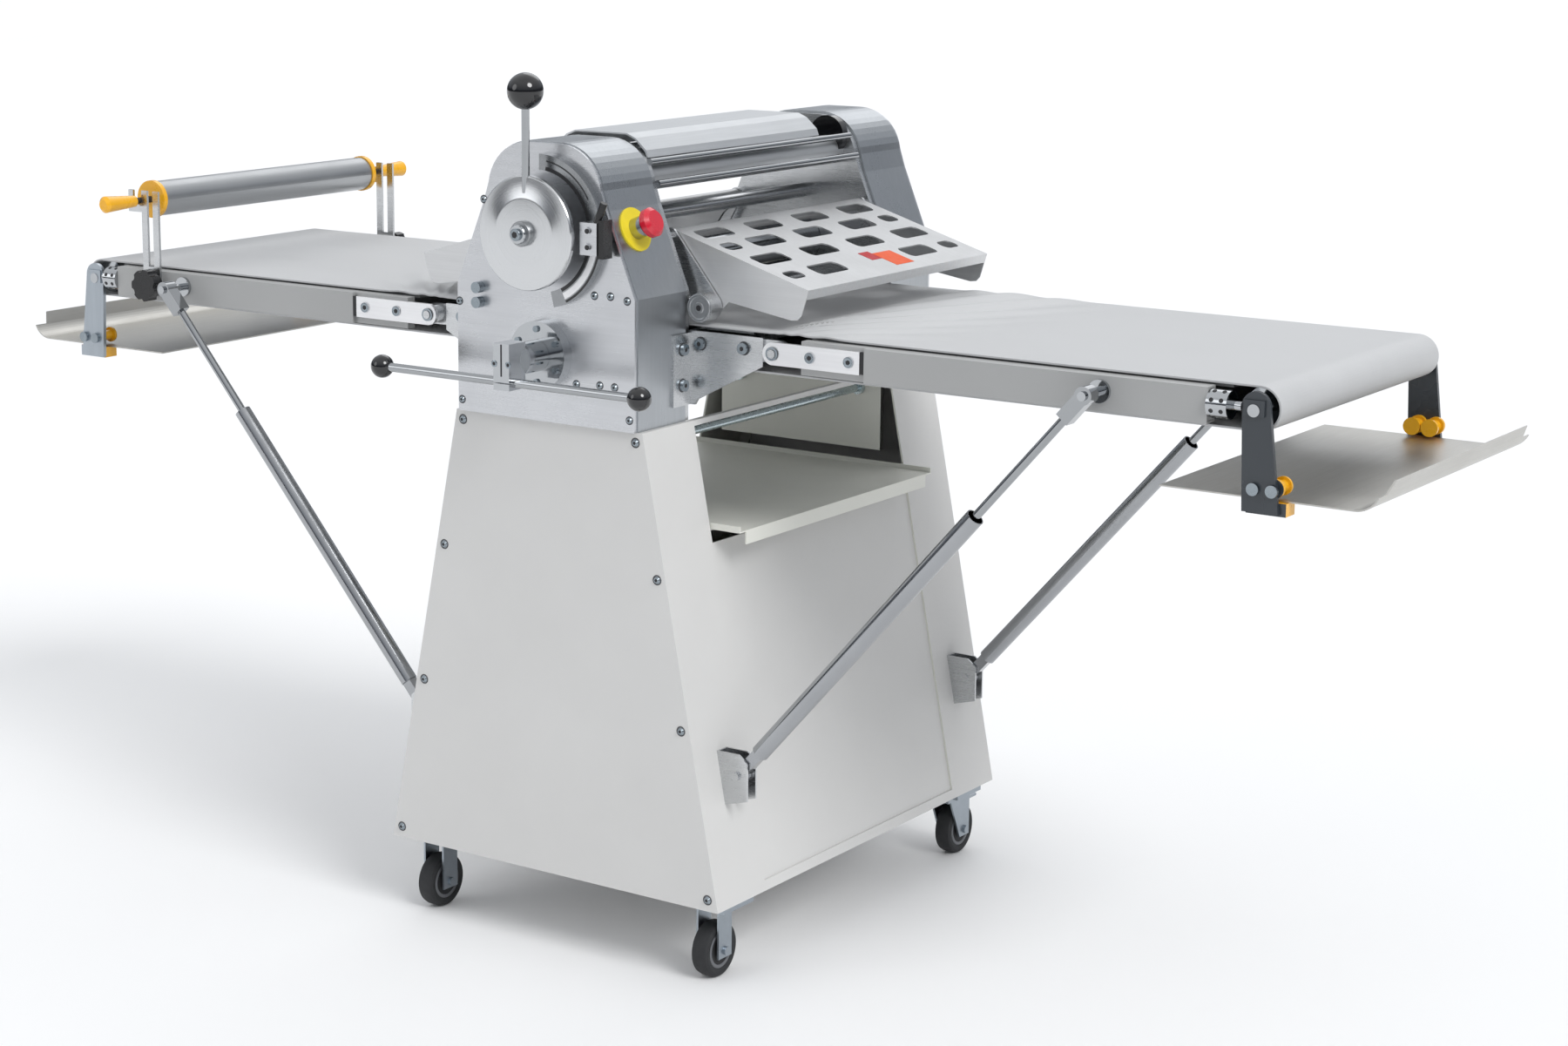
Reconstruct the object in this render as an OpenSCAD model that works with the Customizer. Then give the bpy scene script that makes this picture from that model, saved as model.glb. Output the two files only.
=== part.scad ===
// Floor-standing dough sheeter with two folding conveyor wings.
// Millimetres. X runs along the belts, -Y is the operator's side, Z is up, z = 0 is the floor.

/* [Overall] */
// Width between the two side frames, the roller class
roller_face = 520; // [400:10:650]
// Distance from the machine's centre to each end roller's axis
wing_reach = 1000; // [800:10:1300]
// Working height of the belts
belt_top = 908; // [820:1:1000]
// Depth of each head housing
housing_d = 112; // [90:1:160]

/* [Cabinet] */
// Underside of the cabinet above the floor
cab_z0 = 115; // [100:1:150]
// Half width of the cabinet at its underside
cab_hw0 = 292; // [250:1:340]
// Half width of the cabinet at its top
cab_hw1 = 162; // [158:1:190]
// Drop from the belt to the top of the cabinet
cab_drop = 135; // [125:1:160]
// Sheet thickness of the cabinet
sheet = 3; // [1.5:0.5:4]
// Thickness of the front and rear cover sheets
cover_t = 2; // [1:0.5:3]
// Drop from the belt to the crumb tray
tray_drop = 286; // [270:1:330]
// Reach of the crumb tray from the centre
tray_reach = 240; // [215:1:260]

/* [Head] */
// Thickness of the side frames that carry the rollers
frame_t = 12; // [8:1:16]
// Wall of the bent head covers
wall = 3; // [2:0.5:4]
// Thickness of the machined end plates
plate_t = 6; // [4:1:8]
// Half width of the head at its foot
head_hw = 155; // [150:1:170]
// Radius of the head's top corners
head_r = 71; // [60:1:80]

/* [Rollers] */
// Radius of the two sheeting rollers
roller_r = 36; // [30:1:40]
// Gap between the sheeting rollers with the lever upright
gap_rest = 20; // [20:1:24]
// Most that the gap closes or opens from rest
gap_move = 19; // [10:1:19]
// Radius of the belt drive and end rollers
belt_roller_r = 25.7; // [22:0.1:28]
// Distance of each drive roller from the centre
drive_x = 76; // [72:1:90]
// Belt thickness
belt_t = 3; // [2:0.5:4]
// Length of the end roller's tube on each side of the centre, short of the belt's edge
roller_inset = 18; // [8:1:30]
// Running clearance of shafts in bores, on the radius
run_gap = 0.05; // [0.02:0.01:0.1]
// Clearance between pieces that move past each other
gap = 0.3; // [0.2:0.1:0.6]

/* [Controls] */
// Radius of the gap lever's disc
disc_r = 79; // [70:1:81]
// Height of the lever's axis above the belt
lever_h = 131; // [128:1:136]
// Height of the lever's ball above its axis
lever_ball_h = 192; // [150:1:220]
// Radius of the lever's ball
lever_ball_r = 25; // [18:1:28]
// Depth of the shift handle's axis below the belt
handle_drop = 40; // [36:1:50]
// Half length between the shift handle's balls
handle_half = 222; // [180:1:240]
// Radius of the shift handle's balls
handle_ball_r = 16.5; // [14:0.5:20]

/* [Wings] */
// Distance of each fold pivot from the centre
pivot_x = 302; // [295:1:320]
// Depth of the fold pivot below the belt
pivot_drop = 25.5; // [24:0.5:28]
// Height of the side rails
rail_h = 46; // [40:1:50]
// Width of the side rails
rail_w = 22.5; // [20:0.5:26]
// Distance from the end roller back to the strut's upper pivot
strut_inset = 205; // [190:1:240]
// Reach of the strut's lower pivot from the centre
strut_foot_x = 283; // [275:1:300]
// Height of the strut's lower pivot
strut_foot_z = 297; // [240:1:330]
// Length of the strut's tube from its pivot
strut_tube_len = 545; // [530:1:560]
// Radius of the strut's tube
strut_tube_r = 12.5; // [12.5:0.5:14]
// Radius of the strut's rod
strut_rod_r = 6; // [5:0.5:6]

/* [Guards] */
// Length of each finger guard
guard_len = 232; // [215:1:236]
// Slope of the guards in degrees
guard_slope = 16.8; // [14:0.1:18]
// Sheet thickness of the guards
guard_t = 2; // [1.5:0.5:3]

/* [Trays and pin] */
// Depth of the catch trays below the belt
catch_drop = 141.5; // [136:0.5:144]
// Length of the flat of a catch tray
catch_len = 258; // [230:1:270]
// Distance from the end roller back to the rolling pin
pin_back = 120; // [110:1:140]
// Height of the rolling pin's axis above the belt
pin_h = 106; // [90:1:120]
// Radius of the rolling pin
pin_r = 27.5; // [22:0.5:32]

/* [Casters] */
// Radius of the caster wheels
wheel_r = 40; // [36:1:42]
// Width of the caster wheels
wheel_w = 28; // [22:1:32]
// Trail of the swivel casters
trail = 28; // [22:1:34]

/* [Hidden] */
$fn = 48;
e = 0.01;
yi = roller_face / 2;
yf = yi + frame_t;
yo = yf + housing_d;
yp = yo + plate_t;
cab_z1 = belt_top - cab_drop;
cab_slope = (cab_hw0 - cab_hw1) / (cab_z1 - cab_z0);
cab_k = sqrt(1 + cab_slope * cab_slope);
win_y = yi + 2;
tray_z = belt_top - tray_drop;
belt_half = yi - 6;
belt_r = belt_roller_r + gap;
belt_z = belt_top - belt_t - belt_r;
low_z = belt_top - roller_r;
up_z = low_z + 2 * roller_r + gap_rest;
shaft_r = 15;
drive_shaft_r = 10;
lever_z = belt_top + lever_h;
lever_shaft_r = 11;
lever_y = yp + 34;
ring_t = 12;
ring_in = disc_r + 5;
ring_out = ring_in + 22;
handle_z = belt_top - handle_drop;
handle_y = yp + 60;
pivot_z = belt_top - pivot_drop;
rail_y0 = belt_half + 2.5;
rail_y1 = rail_y0 + rail_w;
link_t = 6;
link_y0 = rail_y1 - link_t - gap;
rail_z0 = pivot_z - rail_h / 2 - 2.5;
rail_z1 = rail_z0 + rail_h;
rail_x0 = pivot_x + 43;
rail_x1 = pivot_x + 145;
rail_x2 = wing_reach - 59;
nut_r = 18;
tension_y = (rail_y0 + rail_y1) / 2;
tension_z = belt_z + 3;
bracket_y0 = rail_y0 + 7.5;
bracket_y1 = bracket_y0 + 6;
belt_split = pivot_x - 34;
split_gap = 6;
bed_half = belt_half - 9;
arm_y0 = belt_half + 1;
arm_y1 = arm_y0 + 6;
gusset_y1 = arm_y1 + 4;
strut_top_x = wing_reach - strut_inset;
strut_top_z = pivot_z + 0.5;
strut_y = rail_y1 + 37;
strut_eye = 16;
strut_dx = strut_top_x - strut_foot_x;
strut_dz = strut_top_z - strut_foot_z;
strut_len = sqrt(strut_dx * strut_dx + strut_dz * strut_dz);
strut_a = atan2(strut_dz, strut_dx);
strut_rod_len = strut_len - 222;
pin5 = 6;
guard_x = 112;
guard_z = belt_top + 118;
guard_half = yi - 16;
catch_z = belt_top - catch_drop;
pin_x = wing_reach - pin_back;
pin_z = belt_top + pin_h;
holder_x = pin_x - 19;
holder_y0 = rail_y1;
holder_t = 4;
caster_x = cab_hw0 - 44;
caster_y = yo - 56;
swivel_y = yo - 70;
tie_z = cab_z1 - 31;
tie_x = 110;
est_h = 136;
est_a = atan2(43, 105);
est_x = head_hw - 43 * (est_h - 47) / 105;
plate_z = cab_z0;
bar_r = 6.25;
rod_r = 5.5;
tube_s = 48;

paint = [0.84, 0.84, 0.82];
steel = [0.66, 0.67, 0.68];
bright = [0.8, 0.81, 0.82];
chrome = [0.86, 0.87, 0.88];
black = [0.05, 0.05, 0.05];
belt_col = [0.86, 0.86, 0.84];
yellow = [0.95, 0.65, 0.05];
dark = [0.25, 0.27, 0.29];

function cab_x(z) = cab_hw1 + (cab_z1 - z) * cab_slope;
function arc(cx, cz, r, a0, a1, n) =
    [for (i = [0 : n]) let (a = a0 + (a1 - a0) * i / n) [cx + r * cos(a), cz + r * sin(a)]];
function head_half(o) = concat(
    [[head_hw - o, cab_z1], [head_hw - o, belt_top + 47]],
    [[head_hw - 48 - o, belt_top + 164.2]],
    arc(28, belt_top + 181, head_r - o, 8, 88, 10)
);
function flip(p) = [for (i = [len(p) - 1 : -1 : 0]) [-p[i][0], p[i][1]]];
function head_outline(o) = concat(head_half(o), flip(head_half(o)));

module box(x0, x1, y0, y1, z0, z1) {
    translate([x0, y0, z0]) cube([x1 - x0, y1 - y0, z1 - z0]);
}
module cyl_y(x, z, y0, y1, r) {
    translate([x, y1, z]) rotate([90, 0, 0]) cylinder(h = y1 - y0, r = r);
}
module cyl_x(y, z, x0, x1, r) {
    translate([x0, y, z]) rotate([0, 90, 0]) cylinder(h = x1 - x0, r = r);
}
module cyl_z(x, y, z0, z1, r) {
    translate([x, y, z0]) cylinder(h = z1 - z0, r = r);
}
module prism_y(pts, y0, y1) {
    translate([0, y1, 0]) rotate([90, 0, 0]) linear_extrude(y1 - y0) polygon(pts);
}
module both_y() {
    children();
    mirror([0, 1, 0]) children();
}
module both_x() {
    children();
    mirror([1, 0, 0]) children();
}

// Cabinet: tapered sheet body with open windows in its two sides.
module cabinet_shell() {
    yc = yo - cover_t;
    o = sheet * cab_k;
    lip = 22;
    color(paint) difference() {
        prism_y([[-cab_hw0, cab_z0], [cab_hw0, cab_z0], [cab_hw1, cab_z1], [-cab_hw1, cab_z1]], -yc, yc);
        prism_y([[-cab_x(cab_z0 + sheet) + o, cab_z0 + sheet], [cab_x(cab_z0 + sheet) - o, cab_z0 + sheet],
            [cab_x(cab_z1 - sheet) - o, cab_z1 - sheet], [-cab_x(cab_z1 - sheet) + o, cab_z1 - sheet]],
            -yc + sheet, yc - sheet);
        prism_y([[-cab_x(cab_z0 + lip) + lip, cab_z0 + lip], [cab_x(cab_z0 + lip) - lip, cab_z0 + lip],
            [cab_x(cab_z1 - lip) - lip, cab_z1 - lip], [-cab_x(cab_z1 - lip) + lip, cab_z1 - lip]],
            -yc - 1, yc + 1);
        box(-cab_hw0 - 1, cab_hw0 + 1, -win_y, win_y, cab_z0 + 14, cab_z1 - sheet - 4);
        box(-head_hw + 2, head_hw - 2, -yf - gap, yf + gap, cab_z1 - sheet - 8, cab_z1 + 1);
    }
}

// Front and rear cover sheets over the open faces of the cabinet.
module cover_panels() {
    yc = yo - cover_t;
    color(paint) both_y()
        prism_y([[-cab_hw0, cab_z0], [cab_hw0, cab_z0], [cab_hw1, cab_z1], [-cab_hw1, cab_z1]], -yo, -yc);
}

// Recessed lower side sheets with the runners that carry the crumb tray.
module side_panels() {
    o = sheet * cab_k;
    t = 2 * cab_k;
    z1 = tray_z - 20;
    run_w = 14;
    run_x = cab_x(tray_z) - o - gap;
    run_b = cab_x(z1) - o - t;
    color(paint) {
        both_x() prism_y([[cab_x(cab_z0 + sheet) - o, cab_z0 + sheet], [cab_x(z1) - o, z1],
            [cab_x(z1) - o - t, z1], [cab_x(cab_z0 + sheet) - o - t, cab_z0 + sheet]], -win_y - 8, win_y + 8);
        both_y() difference() {
            box(-run_x, run_x, win_y - run_w, win_y + 4, z1 - 12, tray_z - gap);
            box(-cab_hw0, cab_hw0, win_y - run_w - 1, win_y + 2, z1 - 13, tray_z - gap - 3);
            both_x() box(run_b - gap, cab_hw0, win_y - run_w - 1, win_y + 9, z1 - 13, z1 + gap);
        }
    }
}

// Domed screws: cover sheets, end plates, hinge brackets and strut brackets.
module screws() {
    color(chrome) {
        for (f = [[9, 14], [0.305, 0], [0.62, 0], [0.975, 0]])
            both_x() both_y() panel_screw(f[0] > 1 ? cab_z1 - f[1] : cab_z1 - f[0] * (cab_z1 - cab_z0));
        for (p = [[-150, 929], [-105, 1075], [86, 956], [113, 957], [141, 953], [-147, 789], [145, 790],
            [55, 831], [95, 833], [120, 833]])
            both_y() plate_screw(p[0], belt_top + p[1] - 908);
        for (z = [952, 931]) both_y() cyl_y(-112, belt_top + z - 908, -yp - 12, -yp, 8);
        both_x() both_y() {
            for (z = [-7, -57]) cyl_x(-gusset_y1 - 20, pivot_z + z, head_hw + 4, head_hw + 10, 8);
            for (x = [176, 247]) cyl_y(x, pivot_z + 0.5, -gusset_y1 - 6, -gusset_y1, 8);
        }
    }
}
module panel_screw(z) {
    translate([cab_x(z) - 14, -yo, z]) rotate([90, 0, 0]) cylinder(h = 3, r1 = 6, r2 = 3.5);
}
module plate_screw(x, z) {
    translate([x, -yp, z]) rotate([90, 0, 0]) cylinder(h = 2.5, r1 = 5, r2 = 3.5);
}

// Side frames between the housings: bearings, guides and shaft bores.
module side_frames() {
    sb = shaft_r + run_gap;
    sw = shaft_r + 0.5;
    color(bright) both_y() difference() {
        union() {
            prism_y(head_outline(wall + gap), yi, yf);
            box(-head_hw + 8, head_hw - 8, yi + gap + 2, yf, tray_z + 25, cab_z1 + 1);
            both_x() box(31, 41, yf - e, yf + 26, up_z - gap_move - 36, up_z + gap_move + 31);
        }
        cyl_y(0, low_z, yi - 1, yf + 1, sb);
        for (z = [up_z - gap_move, up_z + gap_move]) cyl_y(0, z, yi - 1, yf + 1, sw);
        box(-sw, sw, yi - 1, yf + 1, up_z - gap_move, up_z + gap_move);
        cyl_y(0, lever_z, yi - 1, yf + 1, lever_shaft_r + run_gap);
        for (x = [-guard_x, guard_x]) cyl_y(x, guard_z, yi - 1, yf + 1, pin5 + run_gap);
        for (x = [-drive_x, drive_x]) cyl_y(x, belt_z, yi - 1, yf + 1, drive_shaft_r + run_gap);
    }
}

// Bent sheet covers that wrap each head housing.
module head_covers() {
    color(steel) both_y() difference() {
        prism_y(head_outline(0), yf, yo);
        prism_y(concat([[head_hw - wall, cab_z1 - 1]], head_half(wall), flip(head_half(wall)),
            [[-head_hw + wall, cab_z1 - 1]]), yf - 1, yo + 1);
    }
}

// Machined plates that close the housings at the front and rear.
module head_plates() {
    color(bright) both_y() difference() {
        prism_y(head_outline(1.5), -yp, -yo);
        cyl_y(0, lever_z, -yp - 1, -yo + 1, lever_shaft_r + run_gap);
        cyl_y(0, handle_z, -yp - 1, -yo + 1, lever_shaft_r + run_gap);
    }
}

// Bent sheet cover over the rollers, between the side frames.
module top_cover() {
    t = 2;
    z = belt_top + 257;
    out = [[-82, z - 32], [-78, z - 22], [-60, z - 6], [-45, z], [45, z], [60, z - 6], [78, z - 22], [82, z - 32]];
    inn = [for (p = out) [p[0] * (1 - t / 70), p[1] - (abs(p[0]) > 80 ? 0 : t)]];
    color(paint) prism_y(concat(out, [for (i = [7 : -1 : 0]) inn[i]]), -yi + gap, yi - 82);
}

// Rods and tubes that tie the side frames together, the end disc and the tie rods below.
module cross_rods() {
    color(chrome) {
        both_x() {
            cyl_y(84, belt_top + 219, -yi, yi, 5);
            cyl_y(98, belt_top + 190, -yi, yi, 5);
            cyl_y(52, belt_top + 197, -yi, yi, 22);
            cyl_y(tie_x, tie_z, -yi - 2 - gap, yi + 2 + gap, 6);
            both_y() cyl_y(tie_x, tie_z, yi - 8, yi, 10);
        }
    }
    color(black) difference() {
        cyl_y(52, belt_top + 219, yi - 14, yi, 30);
        cyl_y(84, belt_top + 219, yi - 15, yi + 1, 5 + run_gap);
        cyl_y(52, belt_top + 197, yi - 15, yi + 1, 22 + run_gap);
        cyl_y(98, belt_top + 190, yi - 15, yi + 1, 5 + run_gap);
    }
}

// Scale ring round the lever's disc, open on the left.
module scale_ring() {
    color(black) difference() {
        cyl_y(0, lever_z, -yp - ring_t, -yp, ring_out);
        cyl_y(0, lever_z, -yp - ring_t - 1, -yp + 1, ring_in);
        prism_y([[0, lever_z], [2, lever_z + 200], [-200, lever_z + 200], [-200, lever_z - 200],
            [50, lever_z - 200]], -yp - ring_t - 1, -yp + 1);
    }
}

// Emergency stop: yellow plate and collar on the slanted side of the front cover.
module on_estop() {
    translate([est_x + 0.02, -yo + 42, belt_top + est_h]) rotate([0, 90 - est_a, 0]) children();
}
module estop_base() {
    color(yellow) on_estop() difference() {
        union() {
            cylinder(h = 2.5, r = 31);
            cylinder(h = 21, r = 15);
        }
        translate([0, 0, 1]) cylinder(h = 30, r = 8 + run_gap);
    }
}
module estop_button() {
    color([0.8, 0.05, 0.08]) on_estop() {
        translate([0, 0, 6]) cylinder(h = 22, r = 8);
        translate([0, 0, 26]) cylinder(h = 8, r = 20.5);
        translate([0, 0, 34]) cylinder(h = 5, r1 = 20.5, r2 = 15);
    }
}

// Gusset brackets, fold arms with their pins, and the struts' lower forks.
module wing_brackets() {
    g = pivot_z;
    x1 = pivot_x - 24;
    color(bright) both_x() both_y() {
        difference() {
            union() {
                prism_y([[head_hw, g - 86], [head_hw, g + 17.5], [x1, g + 17.5], [x1, g - 22], [171, g - 78],
                    [166, g - 86]], -gusset_y1, -arm_y1);
                box(head_hw, head_hw + 4, -yf - 34, -arm_y1, g - 86, g + 14.5);
            }
        }
        box(head_hw + 8, pivot_x, -arm_y1, -arm_y0, g - 15.5, g + 15.5);
        cyl_y(pivot_x, g, -arm_y1, -arm_y0, 15.5);
        cyl_y(pivot_x, g, -link_y0 + gap, -arm_y0, 12);
        cyl_y(pivot_x, g, -rail_y1 - 3, -arm_y0, pin5);
        strut_fork();
    }
}
module strut_fork() {
    f = strut_foot_z;
    h = strut_eye / 2 + 1;
    t = 3;
    z0 = f - 44;
    z1 = f + 31;
    y0 = -strut_y - h - t;
    y1 = -strut_y + h + t;
    difference() {
        prism_y([[cab_x(z0), z0], [strut_foot_x + 18, f - 34], [strut_foot_x + 18, f + 20],
            [strut_foot_x + 4, z1], [cab_x(z1), z1]], y0, y1);
        prism_y([[cab_x(z0 - 9) + t, z0 - 9], [strut_foot_x + 30, z0 - 9], [strut_foot_x + 30, z1 + 9],
            [cab_x(z1 + 9) + t, z1 + 9]], y0 + t, y1 - t);
    }
    cyl_y(strut_foot_x, f, y0 - 4, y1 + 2, pin5);
}

// Slide beds between the side frames and the fold, held on the fold arms.
module fixed_beds() {
    x0 = drive_x + 44;
    x1 = pivot_x - 52;
    z = belt_top - belt_t;
    color(steel) both_x() {
        box(x0, x1, -bed_half, bed_half, z - gap - 5, z - gap);
        both_y() box(x0 + 40, x0 + 80, 60, 66, belt_z - 8, z - gap - 4);
        box(x0 + 40, x0 + 80, -arm_y0, arm_y0, belt_z - 6, belt_z + 8);
    }
}

// Inner lengths of the two belts, round the drive rollers.
module fixed_belts() {
    x1 = belt_split - split_gap / 2;
    color(belt_col) both_x() difference() {
        union() {
            cyl_y(drive_x, belt_z, -belt_half, belt_half, belt_r + belt_t);
            box(drive_x, x1, -belt_half, belt_half, belt_z - belt_r - belt_t, belt_top);
        }
        cyl_y(drive_x, belt_z, -belt_half - 1, belt_half + 1, belt_r);
        box(drive_x, x1 + 1, -belt_half - 1, belt_half + 1, belt_z - belt_r, belt_z + belt_r);
    }
}

module handle_flange() {
    color(chrome) {
        difference() {
            cyl_y(0, handle_z, -yp - 18, -yp, 47.5);
            cyl_y(0, handle_z, -yp - 19, -yp + 1, lever_shaft_r + run_gap);
        }
        for (a = [30 : 60 : 330])
            cyl_y(37 * cos(a), handle_z + 37 * sin(a), -yp - 21, -yp - 18, 4.5);
    }
}

// Caster plates, the two rigid front forks and the kingpins of the rear ones.
module caster_mounts() {
    color(steel) {
        both_x() {
            caster_plate(caster_x, -caster_y);
            fork(caster_x, -caster_y);
            caster_plate(caster_x, swivel_y);
            cyl_z(caster_x, swivel_y, plate_z - 16, plate_z - 8, 24);
            cyl_z(caster_x, swivel_y, plate_z - 26, plate_z - 15, 7);
        }
    }
}
module caster_plate(x, y) {
    box(x - 42, x + 42, y - 36, y + 36, plate_z - 8, plate_z);
}
module fork(x, y) {
    w = wheel_w / 2 + 2;
    both_x_at(x) box(x + w, x + w + 3, y - 16, y + 16, wheel_r - 10, plate_z - 8);
    box(x - w - 3, x + w + 3, y - 24, y + 24, plate_z - 12, plate_z - 8);
    cyl_x(y, wheel_r, x - w - 7, x + w + 7, pin5);
}
module both_x_at(x) {
    children();
    translate([2 * x, 0, 0]) mirror([1, 0, 0]) children();
}

// Sheeting rollers.
module sheeting_roller(z) {
    cyl_y(0, z, -yi + 1, yi - 1, roller_r);
    cyl_y(0, z, -yf - 22, yf + 22, shaft_r);
}
module lower_roller() {
    color(chrome) sheeting_roller(low_z);
}
module upper_roller() {
    color(chrome) sheeting_roller(up_z);
}
module roller_carriage() {
    color(dark) both_y() difference() {
        box(-31 + gap, 31 - gap, yf + gap, yf + 24, up_z - 30, up_z + 30);
        cyl_y(0, up_z, yf, yf + 25, shaft_r + run_gap);
    }
}
module drive_roller(s) {
    color(steel) {
        cyl_y(s * drive_x, belt_z, -belt_half + 4, belt_half - 4, belt_roller_r);
        cyl_y(s * drive_x, belt_z, -yf - 4, yf + 4, drive_shaft_r);
    }
}
module drive_roller_right() {
    drive_roller(1);
}
module drive_roller_left() {
    drive_roller(-1);
}

// Gap lever: disc on the cross shaft, rod and ball.
module lever_disc() {
    y0 = -lever_y - 12;
    color(chrome) difference() {
        union() {
            cyl_y(0, lever_z, y0, -lever_y, disc_r);
            cyl_y(0, lever_z, y0 - 12, y0 + 1, 18);
            cyl_y(0, lever_z, y0 - 20, y0, 7);
            cyl_y(0, lever_z, -lever_y, yf + 16, lever_shaft_r);
        }
        difference() {
            cyl_y(0, lever_z, y0 - 1, y0 + 4, disc_r * 0.93);
            cyl_y(0, lever_z, y0 - 2, y0 + 5, disc_r * 0.55);
        }
        cyl_z(0, -lever_y - 6, lever_z + disc_r - 24, lever_z + disc_r + 5, rod_r + run_gap);
    }
}
module lever_rod() {
    color(chrome) cyl_z(0, -lever_y - 6, lever_z + disc_r - 24, lever_z + lever_ball_h - lever_ball_r + 8, rod_r);
}
module lever_ball() {
    color(black) difference() {
        translate([0, -lever_y - 6, lever_z + lever_ball_h]) sphere(r = lever_ball_r);
        cyl_z(0, -lever_y - 6, lever_z + lever_ball_h - lever_ball_r - 5,
            lever_z + lever_ball_h - lever_ball_r + 8, rod_r + run_gap);
    }
}

// Stop that clamps on the scale ring and limits the lever.
module gap_stop() {
    y0 = -yp - ring_t - gap;
    color(bright) {
        box(ring_in, ring_out + 6, y0 - 18, y0, lever_z - 24, lever_z + 20);
        for (z = [-12, 10]) cyl_y(ring_in + 12, lever_z + z, y0 - 21, y0 - 18, 4.5);
    }
    color(black) {
        box(ring_out + 6, ring_out + 16, y0 - 16, y0 + 4, lever_z - 28, lever_z + 24);
        translate([ring_out + 2, y0 - 12, lever_z + 20]) rotate([0, 24, 0]) cylinder(h = 30, r = 5);
    }
}

// Shift handle: hub and split clamp block, bar, two balls.
module handle_hub() {
    y0 = -yp - 18 - gap;
    color(chrome) {
        cyl_y(0, handle_z, y0 - 42, y0, 22);
        cyl_y(0, handle_z, y0 - 1, -yo + 14, lever_shaft_r);
        difference() {
            box(-13.5, 13.5, y0 - 78, y0 - 42, handle_z - 38, handle_z + 26);
            cyl_x(y0 - 66, handle_z - 28, -14, 14, bar_r + run_gap);
            box(-14, 14, y0 - 79, y0 - 66, handle_z - 29, handle_z - 27);
        }
    }
}
module handle_bar() {
    y0 = -yp - 18 - gap - 66;
    color(chrome) cyl_x(y0, handle_z - 28, -handle_half + 8, handle_half - 8, bar_r);
}
module handle_balls() {
    y0 = -yp - 18 - gap - 66;
    color(black) both_x() difference() {
        translate([handle_half, y0, handle_z - 28]) sphere(r = handle_ball_r);
        cyl_x(y0, handle_z - 28, handle_half - handle_ball_r - 4, handle_half - 8, bar_r + run_gap);
    }
}

// Crumb tray that draws out of the side of the cabinet.
module crumb_tray() {
    t = 2;
    w = win_y - 2;
    color(bright) {
        box(-tray_reach, tray_reach, -w, w, tray_z, tray_z + t);
        both_x() box(tray_reach - t, tray_reach, -w + 16, w - 16, tray_z - 18, tray_z + e);
        both_y() box(-tray_reach, tray_reach, w - t, w, tray_z + t - e, tray_z + 9);
    }
}

// Finger guards on their cross shafts. Each shaft has two arms with a rest disc at the end.
module guard_arms() {
    color(chrome) {
        cyl_y(0, 0, -yf, yf, pin5);
        both_y() {
            cyl_y(0, 0, guard_half + 1, guard_half + 5, 11);
            prism_y([[6.8, 8.6], [101.3, -54.3], [76.7, -85.7], [-6.8, -8.6]], guard_half + 1, guard_half + 5);
            cyl_y(89, -70, guard_half + 1, yi + 11, 20);
        }
    }
}
module guard_shaft(s) {
    mirror([s < 0 ? 1 : 0, 0, 0])
        translate([guard_x, 0, guard_z]) rotate([0, guard_slope, 0]) guard_arms();
}
module guard_shaft_right() {
    guard_shaft(1);
}
module guard_shaft_left() {
    guard_shaft(-1);
}
module rounded_hole(s, y, ls, ly) {
    r = 10;
    box(s - ls / 2 + r, s + ls / 2 - r, y - ly / 2, y + ly / 2, 0, 20);
    box(s - ls / 2, s + ls / 2, y - ly / 2 + r, y + ly / 2 - r, 0, 20);
    for (i = [-1, 1]) for (j = [-1, 1]) cyl_z(s + i * (ls / 2 - r), y + j * (ly / 2 - r), 0, 20, r);
}
module guard_sheet() {
    top = 7 + guard_t;
    px = guard_half / 244;
    wide = 74 * px;
    difference() {
        union() {
            cyl_y(0, 0, -guard_half, guard_half, 9);
            box(0, guard_len, -guard_half, guard_half, 7, top);
            box(guard_len - guard_t, guard_len, -guard_half, guard_half, -5, top);
            both_y() prism_y([[0, top], [guard_len, top], [guard_len, -28], [guard_len - 4, -36],
                [guard_len - 13, -40], [116, -54], [110, -66], [100, -80], [90, -84], [78, -80], [70, -68],
                [58, -44], [30, -22], [0, -9]], guard_half - guard_t, guard_half);
        }
        cyl_y(0, 0, -guard_half - 1, guard_half + 1, pin5 + run_gap);
        for (y = [-185, -61.5, 61.5, 185]) {
            rounded_hole(29, y * px, 30, wide);
            rounded_hole(128, y * px, 32, wide);
        }
        for (y = [-122, 0, 122]) rounded_hole(75, y * px, 32, wide);
        for (y = [-122, 122]) rounded_hole(183, y * px, 32, wide);
        for (y = [-208, 208]) {
            rounded_hole(75, y * px, 24, wide / 2);
            rounded_hole(183, y * px, 24, wide / 2);
        }
    }
}
module guard(s) {
    color(bright) mirror([s < 0 ? 1 : 0, 0, 0])
        translate([guard_x, 0, guard_z]) rotate([0, guard_slope, 0]) guard_sheet();
}
module guard_right() {
    guard(1);
}
module guard_left() {
    guard(-1);
}

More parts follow.
